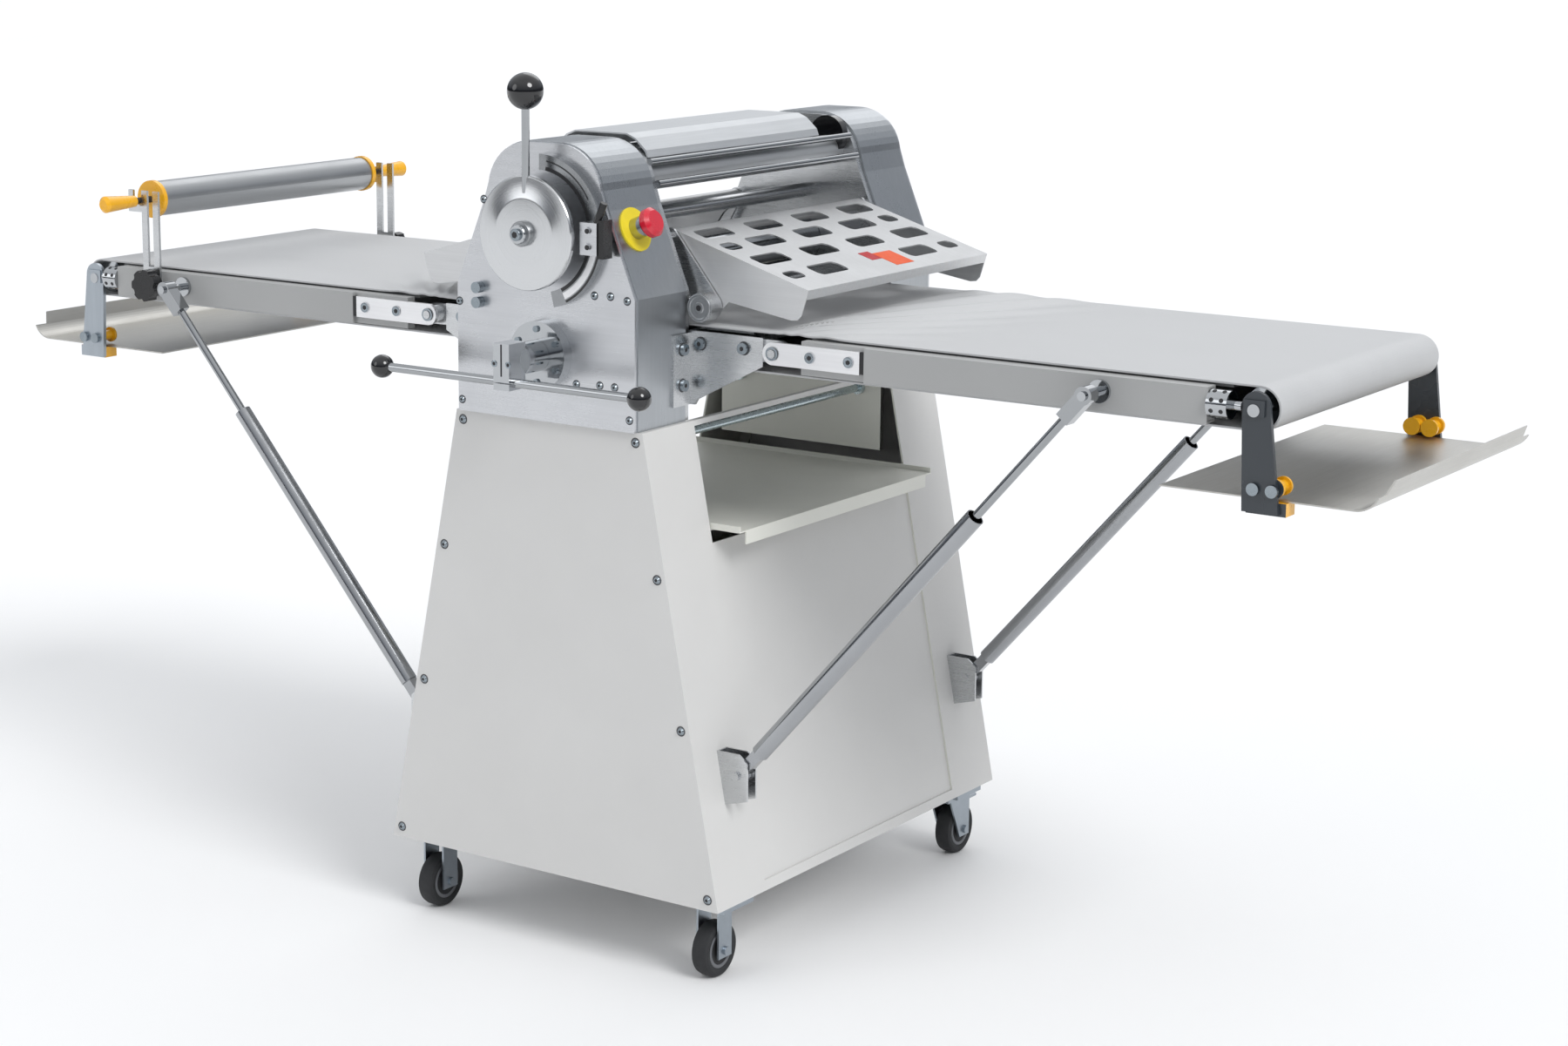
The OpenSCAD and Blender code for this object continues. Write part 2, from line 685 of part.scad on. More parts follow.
// Folding wing: rails, cross members and slide bed.
module wing_frame() {
    z = belt_top - belt_t - gap;
    color(paint) {
        both_y() {
            difference() {
                box(rail_x1, rail_x2, rail_y0, rail_y1, rail_z0, rail_z1);
                box(rail_x1 + 2, rail_x2 + 1, rail_y0 + 2, rail_y1 - 2, rail_z0 + 2, rail_z1 - 2);
                cyl_y(strut_top_x, strut_top_z, rail_y0 + 3, rail_y1 + 1, pin5);
            }
            difference() {
                box(rail_x2 - 12, rail_x2 - 1, rail_y0 + 2, rail_y1 - 2, rail_z0 + 2, rail_z1 - 2);
                cyl_x(tension_y, tension_z, rail_x2 - 13, rail_x2, pin5);
            }
            box(rail_x0, rail_x1, rail_y0, link_y0, rail_z0, rail_z1);
        }
        for (x = [rail_x0 + 60, (rail_x1 + rail_x2) / 2, rail_x2 - 70])
            box(x, x + 30, -rail_y0, rail_y0, rail_z0 + 6, z - 5);
        box(rail_x0, wing_reach - belt_r - 14, -bed_half, bed_half, z - 5, z);
    }
}

// Bright fittings: link bars, strut studs, tension nuts and rods, end axle, bracket bolts.
module wing_fittings() {
    color(chrome) {
        both_y() {
            difference() {
                union() {
                    box(pivot_x - 2, rail_x1 - 7, link_y0, link_y0 + link_t, pivot_z - 15.5, pivot_z + 15.5);
                    cyl_y(pivot_x, pivot_z, link_y0, link_y0 + link_t, 15.5);
                    for (x = [60, 121]) cyl_y(pivot_x + x, pivot_z, link_y0 + link_t - e, link_y0 + link_t + 1.5, 7);
                }
                cyl_y(pivot_x, pivot_z, link_y0 - 1, link_y0 + link_t + 1, pin5 + run_gap);
            }
            cyl_y(strut_top_x, strut_top_z, rail_y1, rail_y1 + 5, 15);
            cyl_y(strut_top_x, strut_top_z, rail_y0 + 3, strut_y + 14, pin5);
            cyl_x(tension_y, tension_z, rail_x2 + gap, rail_x2 + 28, nut_r);
            cyl_x(tension_y, tension_z, rail_x2 - 26, wing_reach - 17, pin5);
            for (x = [3, 28]) cyl_y(wing_reach + x, catch_z + 15, bracket_y1, bracket_y1 + 5, 8);
        }
        cyl_y(wing_reach, belt_z, -bracket_y1 - 4, bracket_y1 + 4, 8);
    }
}
module wing_belt() {
    x0 = belt_split + split_gap / 2;
    color(belt_col) difference() {
        union() {
            cyl_y(wing_reach, belt_z, -belt_half, belt_half, belt_r + belt_t);
            box(x0, wing_reach, -belt_half, belt_half, belt_z - belt_r - belt_t, belt_top);
        }
        cyl_y(wing_reach, belt_z, -belt_half - 1, belt_half + 1, belt_r);
        box(x0 - 1, wing_reach, -belt_half - 1, belt_half + 1, belt_z - belt_r, belt_z + belt_r);
    }
}

// Hanging brackets at the wing's end with the yellow guides of the catch tray.
module end_brackets() {
    x = wing_reach;
    b = catch_z - 14.5;
    color(dark) both_y() difference() {
        union() {
            prism_y([[x - 17, belt_z + 5], [x - 12, b], [x + 36, b], [x + 20, belt_z + 5]],
                bracket_y0, bracket_y1);
            cyl_y(x + 1.5, belt_z + 5, bracket_y0, bracket_y1, 18.5);
            box(x - 13.5, x + 14, bracket_y0 - 5, bracket_y1 + 3, tension_z - 10, tension_z + 10);
        }
        cyl_y(x, belt_z, bracket_y0 - 6, bracket_y1 + 4, 8 + run_gap);
    }
    color(yellow) both_y() {
        for (dx = [3, 28]) {
            cyl_y(x + dx, catch_z + 17, bracket_y0 - 28, bracket_y0, 8);
            cyl_y(x + dx, catch_z + 17, bracket_y0 - 28, bracket_y0 - 24, 12);
            cyl_y(x + dx, catch_z + 17, bracket_y0 - 5, bracket_y0, 12);
        }
        box(x - 9, x + 44, bracket_y0 - 26, bracket_y0, catch_z - 17, catch_z - gap);
    }
}
module end_roller() {
    half = belt_half - roller_inset;
    color(chrome) difference() {
        cyl_y(wing_reach, belt_z, -half, half, belt_roller_r);
        cyl_y(wing_reach, belt_z, -half + 10, half - 10, belt_roller_r - 4);
        cyl_y(wing_reach, belt_z, -half - 1, half + 1, 8 + run_gap);
    }
}

// Catch tray with a raised outer lip.
module catch_tray() {
    t = 2;
    r = 34;
    xe = wing_reach - 130 + catch_len;
    y = bracket_y0 - 8;
    out = arc(xe, catch_z + r, r, -90, -28, 8);
    inn = arc(xe, catch_z + r, r - t, -28, -90, 8);
    tip = [xe + r * cos(28) + 9, catch_z + r * (1 - sin(28)) + 20];
    x0 = wing_reach - 130;
    color(bright) difference() {
        prism_y(concat([[x0, catch_z + t], [x0, catch_z]], out, [tip, [tip[0] - t, tip[1]]], inn), -y, y);
        both_y() translate([xe + 6, y + 1, catch_z + 20]) rotate([0, 0, -45])
            translate([0, -e, 0]) cube([60, 30, 80]);
    }
}

// Struts: tube on the cabinet, rod on the wing.
module on_strut() {
    translate([strut_foot_x, 0, strut_foot_z]) rotate([0, -strut_a, 0]) children();
}
module strut_tubes() {
    color(chrome) both_y() on_strut() difference() {
        union() {
            cyl_y(0, 0, strut_y - strut_eye / 2, strut_y + strut_eye / 2, 12);
            box(0, tube_s + 4, strut_y - strut_eye / 2, strut_y + strut_eye / 2, -8, 8);
            cyl_x(strut_y, 0, tube_s, strut_tube_len, strut_tube_r);
        }
        cyl_x(strut_y, 0, tube_s + 20, strut_tube_len + 1, strut_tube_r - 1.5);
        cyl_y(0, 0, strut_y - 20, strut_y + 20, pin5 + run_gap);
    }
}
module strut_rods() {
    color(chrome) both_y() on_strut() difference() {
        union() {
            cyl_x(strut_y, 0, strut_len - strut_rod_len, strut_len - 20, strut_rod_r);
            box(strut_len - 44, strut_len + 6, strut_y - 10, strut_y + 10, -10, 10);
            cyl_y(strut_len, 0, strut_y - 10, strut_y + 10, 12);
        }
        cyl_y(strut_len, 0, strut_y - 20, strut_y + 20, pin5 + run_gap);
    }
}

module wing_frame_right() {
    wing_frame();
}
module wing_frame_left() {
    mirror([1, 0, 0]) wing_frame();
}
module wing_fittings_right() {
    wing_fittings();
}
module wing_fittings_left() {
    mirror([1, 0, 0]) wing_fittings();
}
module wing_belt_right() {
    wing_belt();
}
module wing_belt_left() {
    mirror([1, 0, 0]) wing_belt();
}
module end_brackets_right() {
    end_brackets();
}
module end_brackets_left() {
    mirror([1, 0, 0]) end_brackets();
}
module end_roller_right() {
    end_roller();
}
module end_roller_left() {
    mirror([1, 0, 0]) end_roller();
}
module catch_tray_right() {
    catch_tray();
}
module catch_tray_left() {
    mirror([1, 0, 0]) catch_tray();
}
module strut_tubes_right() {
    strut_tubes();
}
module strut_tubes_left() {
    mirror([1, 0, 0]) strut_tubes();
}
module strut_rods_right() {
    strut_rods();
}
module strut_rods_left() {
    mirror([1, 0, 0]) strut_rods();
}

// Rolling pin, its slotted holders on the left wing and their star knobs.
module pin_holders() {
    x = -holder_x;
    y1 = holder_y0 + holder_t;
    color(bright) both_y() difference() {
        union() {
            box(x - 18, x + 18, holder_y0, y1, pivot_z - 14, pin_z + 14);
            box(x - 46, x - 17, holder_y0, y1, pin_z - 20, pin_z - 8);
            box(x - 46, x - 36, holder_y0, y1, pin_z - 20, pin_z + 14);
        }
        box(x - 6, x + 6, holder_y0 - 1, y1 + 1, rail_z1 + 6, pin_z + 16);
    }
}
module pin_knobs() {
    x = -holder_x;
    y1 = holder_y0 + holder_t;
    color(black) both_y() {
        cyl_y(x + 6, pivot_z, y1, y1 + 8, 12);
        difference() {
            cyl_y(x + 6, pivot_z, y1 + 8, y1 + 26, 25);
            for (a = [0 : 51.43 : 359])
                cyl_y(x + 6 + 28 * cos(a), pivot_z + 28 * sin(a), y1 + 7, y1 + 27, 6.5);
        }
    }
}
module rolling_pin() {
    px = -holder_x - 26;
    neck_z = pin_z - 8 + 5 + gap;
    color(steel) cyl_y(px, neck_z, -belt_half + 8, belt_half - 8, pin_r);
    color(dark) cyl_y(px, neck_z, -holder_y0 - 30, holder_y0 + 30, 5);
    color(yellow) both_y() {
        cyl_y(px, neck_z, belt_half - 8, belt_half, pin_r + 2);
        translate([px, holder_y0 + 12, neck_z]) rotate([-90, 0, 0]) cylinder(h = 62, r1 = 9, r2 = 13);
        translate([px, holder_y0 + 74, neck_z]) rotate([-90, 0, 0]) cylinder(h = 5, r1 = 13, r2 = 8);
    }
}

// Caster wheels and the swivel forks of the rear pair.
module wheel(x, y) {
    color(dark) difference() {
        union() {
            cyl_x(y, wheel_r, x - wheel_w / 2 + 3, x + wheel_w / 2 - 3, wheel_r);
            cyl_x(y, wheel_r, x - wheel_w / 2, x + wheel_w / 2, wheel_r - 3);
        }
        cyl_x(y, wheel_r, x - wheel_w, x + wheel_w, pin5 + run_gap);
    }
}
module wheel_front_right() {
    wheel(caster_x, -caster_y);
}
module wheel_front_left() {
    wheel(-caster_x, -caster_y);
}
module wheel_rear_right() {
    wheel(caster_x, swivel_y + trail);
}
module wheel_rear_left() {
    wheel(-caster_x, swivel_y + trail);
}
module swivel_fork(x) {
    w = wheel_w / 2 + 2;
    z1 = plate_z - 16 - gap;
    y = swivel_y + trail;
    color(steel) {
        difference() {
            box(x - w - 3, x + w + 3, swivel_y - 24, y + 14, z1 - 5, z1);
            cyl_z(x, swivel_y, z1 - 6, z1 + 1, 7 + run_gap);
        }
        both_x_at(x) prism_side(x + w, [[swivel_y - 18, z1], [y + 14, z1], [y + 14, wheel_r - 10],
            [y - 14, wheel_r - 10]]);
        cyl_x(y, wheel_r, x - w - 7, x + w + 7, pin5);
        box(x - 13, x + 13, y + 16, y + 46, z1 - 16, z1 - 12);
        box(x - 13, x + 13, y + 13, y + 17, z1 - 16, z1);
    }
}
module prism_side(x, pts) {
    translate([x, 0, 0]) rotate([90, 0, 90]) linear_extrude(3) polygon(pts);
}
module fork_rear_right() {
    swivel_fork(caster_x);
}
module fork_rear_left() {
    swivel_fork(-caster_x);
}

cabinet_shell();
cover_panels();
side_panels();
screws();
side_frames();
head_covers();
head_plates();
top_cover();
cross_rods();
scale_ring();
estop_base();
wing_brackets();
fixed_beds();
fixed_belts();
handle_flange();
caster_mounts();
lower_roller();
roller_carriage();
upper_roller();
drive_roller_right();
drive_roller_left();
lever_disc();
lever_rod();
lever_ball();
gap_stop();
handle_hub();
handle_bar();
handle_balls();
estop_button();
crumb_tray();
guard_shaft_right();
guard_right();
guard_shaft_left();
guard_left();
wing_frame_right();
wing_fittings_right();
wing_belt_right();
end_brackets_right();
end_roller_right();
catch_tray_right();
strut_tubes_right();
strut_rods_right();
wing_frame_left();
wing_fittings_left();
wing_belt_left();
end_brackets_left();
end_roller_left();
catch_tray_left();
strut_tubes_left();
strut_rods_left();
pin_holders();
rolling_pin();
pin_knobs();
wheel_front_right();
wheel_front_left();
fork_rear_right();
fork_rear_left();
wheel_rear_right();
wheel_rear_left();
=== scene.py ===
"""Finishes and soft parts of a dough sheeter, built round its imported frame."""

import math

import bmesh
import bpy
from mathutils import Matrix, Vector


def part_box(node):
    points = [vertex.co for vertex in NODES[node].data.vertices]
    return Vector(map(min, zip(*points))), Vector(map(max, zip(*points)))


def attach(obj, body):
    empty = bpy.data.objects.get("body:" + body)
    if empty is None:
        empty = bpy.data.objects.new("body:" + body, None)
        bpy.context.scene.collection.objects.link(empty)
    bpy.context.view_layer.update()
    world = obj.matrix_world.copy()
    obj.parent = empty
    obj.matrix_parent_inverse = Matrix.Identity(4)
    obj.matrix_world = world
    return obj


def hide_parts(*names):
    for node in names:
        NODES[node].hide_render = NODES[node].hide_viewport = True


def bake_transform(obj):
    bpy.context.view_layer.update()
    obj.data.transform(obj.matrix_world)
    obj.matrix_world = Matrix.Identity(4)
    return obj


bl_info = {
    "name": "Dough Sheeter",
    "version": (1, 0, 0),
    "blender": (4, 5, 0),
    "location": "View3D > Sidebar > Sheeter",
    "description": "Adds the belts, labels, tyres and finishes of a folding dough sheeter",
    "category": "Object",
}

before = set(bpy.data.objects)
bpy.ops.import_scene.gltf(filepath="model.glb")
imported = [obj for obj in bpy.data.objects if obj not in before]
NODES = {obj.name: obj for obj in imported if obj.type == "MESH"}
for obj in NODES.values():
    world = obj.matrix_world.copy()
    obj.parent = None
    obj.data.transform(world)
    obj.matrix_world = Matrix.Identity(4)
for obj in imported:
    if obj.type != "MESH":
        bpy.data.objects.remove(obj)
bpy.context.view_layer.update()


def span(node, axis):
    """Lowest and highest value of a frame node along one axis, in metres."""
    low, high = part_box(node)
    return low[axis], high[axis]


# The fold, the stop head, the gap lever's axis and the guards' hinges, in the frame's metres.
PIVOT_X, PIVOT_Z = 0.302, 0.8825
STOP_X, STOP_Z = 0.1186, 1.044
LEVER_X, LEVER_Z = 0.0, 1.039
GUARD_HINGE_X, GUARD_HINGE_Z = 0.112, 1.026
GUARD_SLOPE = math.radians(16.8)
GUARD_TOP = 0.009
REST_DISC = (0.089, 0.2708, -0.070)

# The link bars' front faces and screws, and the rows of holes round the tension nuts.
LINK_FACE = 0.2802
LINK_SCREWS_X = (0.362, 0.423)
NUT_HOLES_X = (0.9485, 0.9618)
NUT_Y, NUT_RADIUS = 0.26775, 0.0177

# The belts.
BELT_COLUMNS = 72
BELT_TOP_STEPS, BELT_UNDER_STEPS, BELT_TURN_STEPS = 240, 60, 16
BELT_TOP = span("wing_belt_right", 2)[1]
BELT_HALF = span("wing_belt_right", 1)[1] + 0.0018
DRIVE_X = sum(span("drive_roller_right", 0)) / 2
END_X = sum(span("end_roller_right", 0)) / 2
ROLL_Z = sum(span("end_roller_right", 2)) / 2


# ---------------------------------------------------------------- mesh helpers


def add_object(name, mesh):
    """Links a mesh to the scene as an object."""
    piece = bpy.data.objects.new(name, mesh)
    bpy.context.scene.collection.objects.link(piece)
    return piece


def from_bmesh(name, bm, smooth=True):
    """Turns a bmesh into a linked object."""
    bmesh.ops.recalc_face_normals(bm, faces=bm.faces)
    mesh = bpy.data.meshes.new(name)
    bm.to_mesh(mesh)
    bm.free()
    for face in mesh.polygons:
        face.use_smooth = smooth
    if smooth:
        mesh.set_sharp_from_angle(angle=math.radians(32))
    return add_object(name, mesh)


def loft(bm, rings, cap=True):
    """Joins closed rings of points into a skin, with flat ends if asked."""
    rows = [[bm.verts.new(p) for p in ring] for ring in rings]
    count = len(rows[0])
    for a, b in zip(rows, rows[1:]):
        for i in range(count):
            j = (i + 1) % count
            bm.faces.new((a[i], a[j], b[j], b[i]))
    if cap:
        bm.faces.new(rows[0])
        bm.faces.new(rows[-1])


def turned(bm, centre, axis, profile, steps=48):
    """Revolves (distance along the axis, radius) pairs round an axis through centre."""
    axis = Vector(axis).normalized()
    side = axis.orthogonal().normalized()
    other = axis.cross(side)
    rings = []
    for along, radius in profile:
        ring = []
        for i in range(steps):
            turn = 2 * math.pi * i / steps
            out = side * math.cos(turn) + other * math.sin(turn)
            ring.append(Vector(centre) + axis * along + out * max(radius, 1e-5))
        rings.append(ring)
    loft(bm, rings)


def soften(piece, width, angle):
    """Rounds the sharp edges of a piece with a bevel."""
    bevel = piece.modifiers.new("Edge", "BEVEL")
    bevel.width = width
    bevel.segments = 2
    bevel.limit_method = "ANGLE"
    bevel.angle_limit = math.radians(angle)
    bevel.harden_normals = True


# ------------------------------------------------------------ material helpers


class Shader:
    """A small builder round one material's node tree."""

    def __init__(self, name):
        self.material = bpy.data.materials.new(name)
        self.material.use_nodes = True
        self.tree = self.material.node_tree
        self.surface = self.tree.nodes["Principled BSDF"]
        self.place = self.add("ShaderNodeTexCoord")

    def add(self, kind, **settings):
        node = self.tree.nodes.new(kind)
        for key, value in settings.items():
            setattr(node, key, value)
        return node

    def link(self, out, into):
        self.tree.links.new(out, into)

    def set(self, **values):
        for key, value in values.items():
            self.surface.inputs[key.replace("_", " ")].default_value = value

    def stretched(self, scale):
        mapping = self.add("ShaderNodeMapping")
        mapping.inputs["Scale"].default_value = scale
        self.link(self.place.outputs["Object"], mapping.inputs["Vector"])
        return mapping.outputs["Vector"]

    def noise(self, scale, detail=3.0, rough=0.55, stretch=(1, 1, 1)):
        node = self.add("ShaderNodeTexNoise")
        node.inputs["Scale"].default_value = scale
        node.inputs["Detail"].default_value = detail
        node.inputs["Roughness"].default_value = rough
        self.link(self.stretched(stretch), node.inputs["Vector"])
        return node.outputs["Fac"]

    def ramp(self, value, stops):
        node = self.add("ShaderNodeValToRGB")
        marks = node.color_ramp.elements
        while len(marks) < len(stops):
            marks.new(0.5)
        for mark, (at, tone) in zip(marks, stops):
            mark.position = at
            mark.color = tone if len(tone) == 4 else (*tone, 1)
        self.link(value, node.inputs["Fac"])
        return node.outputs["Color"]

    def spread(self, value, low, high, from_low=0.3, from_high=0.7):
        node = self.add("ShaderNodeMapRange")
        node.inputs["From Min"].default_value = from_low
        node.inputs["From Max"].default_value = from_high
        node.inputs["To Min"].default_value = low
        node.inputs["To Max"].default_value = high
        self.link(value, node.inputs["Value"])
        return node.outputs["Result"]

    def math(self, operation, a, b):
        node = self.add("ShaderNodeMath", operation=operation)
        for socket, value in zip(node.inputs, (a, b)):
            if isinstance(value, (int, float)):
                socket.default_value = value
            else:
                self.link(value, socket)
        return node.outputs["Value"]

    def color(self, value):
        self.link(value, self.surface.inputs["Base Color"])

    def rough(self, value):
        self.link(value, self.surface.inputs["Roughness"])

    def bump(self, height, distance, strength=1.0):
        node = self.add("ShaderNodeBump")
        node.inputs["Distance"].default_value = distance
        node.inputs["Strength"].default_value = strength
        self.link(height, node.inputs["Height"])
        self.link(node.outputs["Normal"], self.surface.inputs["Normal"])


def shade(tone, factor):
    """A colour made lighter or darker by a factor."""
    return tuple(min(1.0, c * factor) for c in tone[:3])


def powder_coat(name, tone, rough=0.42):
    """Sprayed and baked paint: a faint orange peel and slightly uneven gloss."""
    s = Shader(name)
    s.color(s.ramp(s.noise(5.0, 4), [(0.3, shade(tone, 0.975)), (0.7, shade(tone, 1.015))]))
    s.rough(s.spread(s.noise(14.0, 3), rough - 0.05, rough + 0.06))
    s.bump(s.noise(620.0, 2, 0.4), 0.00012, 0.35)
    s.set(Coat_Weight=0.12, Coat_Roughness=0.3)
    return s.material


def brushed(name, tone, rough, along=(1, 1, 1), grain=900.0):
    """Brushed metal: streaks far longer one way than across it, with faint hand marks."""
    s = Shader(name)
    streaks = s.noise(grain, 3, 0.6, along)
    s.color(s.ramp(s.noise(grain * 0.2, 4, 0.6, along),
                   [(0.25, shade(tone, 0.95)), (0.75, shade(tone, 1.03))]))
    marks = s.spread(s.noise(7.0, 5, 0.6), -0.04, 0.07)
    s.rough(s.math("ADD", s.spread(streaks, rough - 0.035, rough + 0.05), marks))
    s.bump(streaks, 0.00003, 0.25)
    s.set(Metallic=1.0)
    return s.material


def polished(name, tone, rough=0.1):
    """Polished plate: bright, with a few soft smears and fine wipe marks."""
    s = Shader(name)
    s.color(s.ramp(s.noise(11.0, 3), [(0.3, shade(tone, 0.95)), (0.7, shade(tone, 1.03))]))
    s.rough(s.spread(s.noise(26.0, 5, 0.7), rough * 0.6, rough * 1.7))
    s.bump(s.noise(1500.0, 2, 0.5, (1, 0.06, 1)), 0.00001, 0.3)
    s.set(Metallic=1.0)
    return s.material


def turned_face(name, tone, centre_x, centre_z, rough=0.22, pitch=1500.0):
    """Metal faced on a lathe: fine rings round the axis of the disc."""
    s = Shader(name)
    shift = s.add("ShaderNodeMapping")
    shift.inputs["Location"].default_value = (-centre_x, 0, -centre_z)
    shift.inputs["Scale"].default_value = (1, 0, 1)
    s.link(s.place.outputs["Object"], shift.inputs["Vector"])
    length = s.add("ShaderNodeVectorMath", operation="LENGTH")
    s.link(shift.outputs["Vector"], length.inputs[0])
    row = s.add("ShaderNodeCombineXYZ")
    s.link(length.outputs["Value"], row.inputs["X"])
    rings = s.add("ShaderNodeTexNoise", noise_dimensions="3D")
    rings.inputs["Scale"].default_value = pitch
    rings.inputs["Detail"].default_value = 3
    s.link(row.outputs["Vector"], rings.inputs["Vector"])
    s.color(s.ramp(rings.outputs["Fac"], [(0.3, shade(tone, 0.9)), (0.7, shade(tone, 1.06))]))
    s.rough(s.spread(rings.outputs["Fac"], rough - 0.05, rough + 0.08))
    s.bump(rings.outputs["Fac"], 0.00005, 0.6)
    s.set(Metallic=1.0, Anisotropic=0.5)
    return s.material


def moulded(name, tone, rough=0.3, grain=0.00005, coat=0.0):
    """Moulded plastic with a slight texture and handling marks."""
    s = Shader(name)
    s.color(s.ramp(s.noise(35.0, 4), [(0.3, shade(tone, 0.93)), (0.7, shade(tone, 1.05))]))
    s.rough(s.spread(s.noise(60.0, 4), rough - 0.04, rough + 0.08))
    s.bump(s.noise(900.0, 2), grain, 0.4)
    s.set(Coat_Weight=coat, Coat_Roughness=0.08)
    return s.material


def rubber(name, tone):
    """Wheel rubber: dull, scuffed and a little dusty."""
    s = Shader(name)
    dust = s.noise(48.0, 6, 0.7)
    s.color(s.ramp(dust, [(0.35, shade(tone, 0.85)), (0.62, tone), (0.8, shade(tone, 1.6))]))
    s.rough(s.spread(dust, 0.62, 0.85))
    s.bump(s.noise(500.0, 3), 0.0002, 0.4)
    return s.material


def belt_cloth(name, tone):
    """Conveyor belt cloth: a tight plain weave under a thin smooth coat, floured in places."""
    s = Shader(name)
    weave = []
    for across in ((1, 0, 0), (0, 1, 0)):
        wave = s.add("ShaderNodeTexWave", wave_type="BANDS",
                     bands_direction="X" if across[0] else "Y")
        wave.inputs["Scale"].default_value = 210.0
        wave.inputs["Distortion"].default_value = 0.6
        wave.inputs["Detail"].default_value = 1.0
        s.link(s.stretched((1, 1, 1)), wave.inputs["Vector"])
        weave.append(wave.outputs["Fac"])
    cloth = s.math("MULTIPLY", weave[0], weave[1])
    flour = s.noise(4.0, 6, 0.6, (1, 2.2, 1))
    s.color(s.ramp(flour, [(0.28, shade(tone, 0.955)), (0.55, tone), (0.8, shade(tone, 1.03))]))
    s.rough(s.spread(flour, 0.5, 0.66))
    s.bump(cloth, 0.00012, 0.5)
    s.set(Sheen_Weight=0.12, Sheen_Roughness=0.4)
    return s.material


def print_film(name, tone, rough=0.35):
    """Printed adhesive film with a soft gloss."""
    s = Shader(name)
    s.color(s.ramp(s.noise(40.0, 3), [(0.3, shade(tone, 0.94)), (0.7, shade(tone, 1.04))]))
    s.rough(s.spread(s.noise(90.0, 3), rough - 0.05, rough + 0.08))
    s.bump(s.noise(300.0, 2), 0.00003, 0.3)
    return s.material


def threaded(name, tone, pitch):
    """Plated rod along Y with a rolled thread; its colour darkens in the roots and lightens on the
    crests as painted shade and light.
    """
    s = Shader(name)
    wave = s.add("ShaderNodeTexWave", wave_type="BANDS", bands_direction="Y")
    wave.inputs["Scale"].default_value = 0.314 / pitch
    s.link(s.place.outputs["Object"], wave.inputs["Vector"])
    # Colour bands on the thread: painted shade in the roots, painted light on the crests.
    s.color(s.ramp(wave.outputs["Fac"], [(0.1, shade(tone, 0.86)), (0.6, shade(tone, 1.08))]))
    s.rough(s.spread(s.noise(60.0, 3), 0.2, 0.34))
    s.bump(wave.outputs["Fac"], 0.0001, 0.25)
    s.set(Metallic=1.0)
    return s.material


LIBRARY = {}


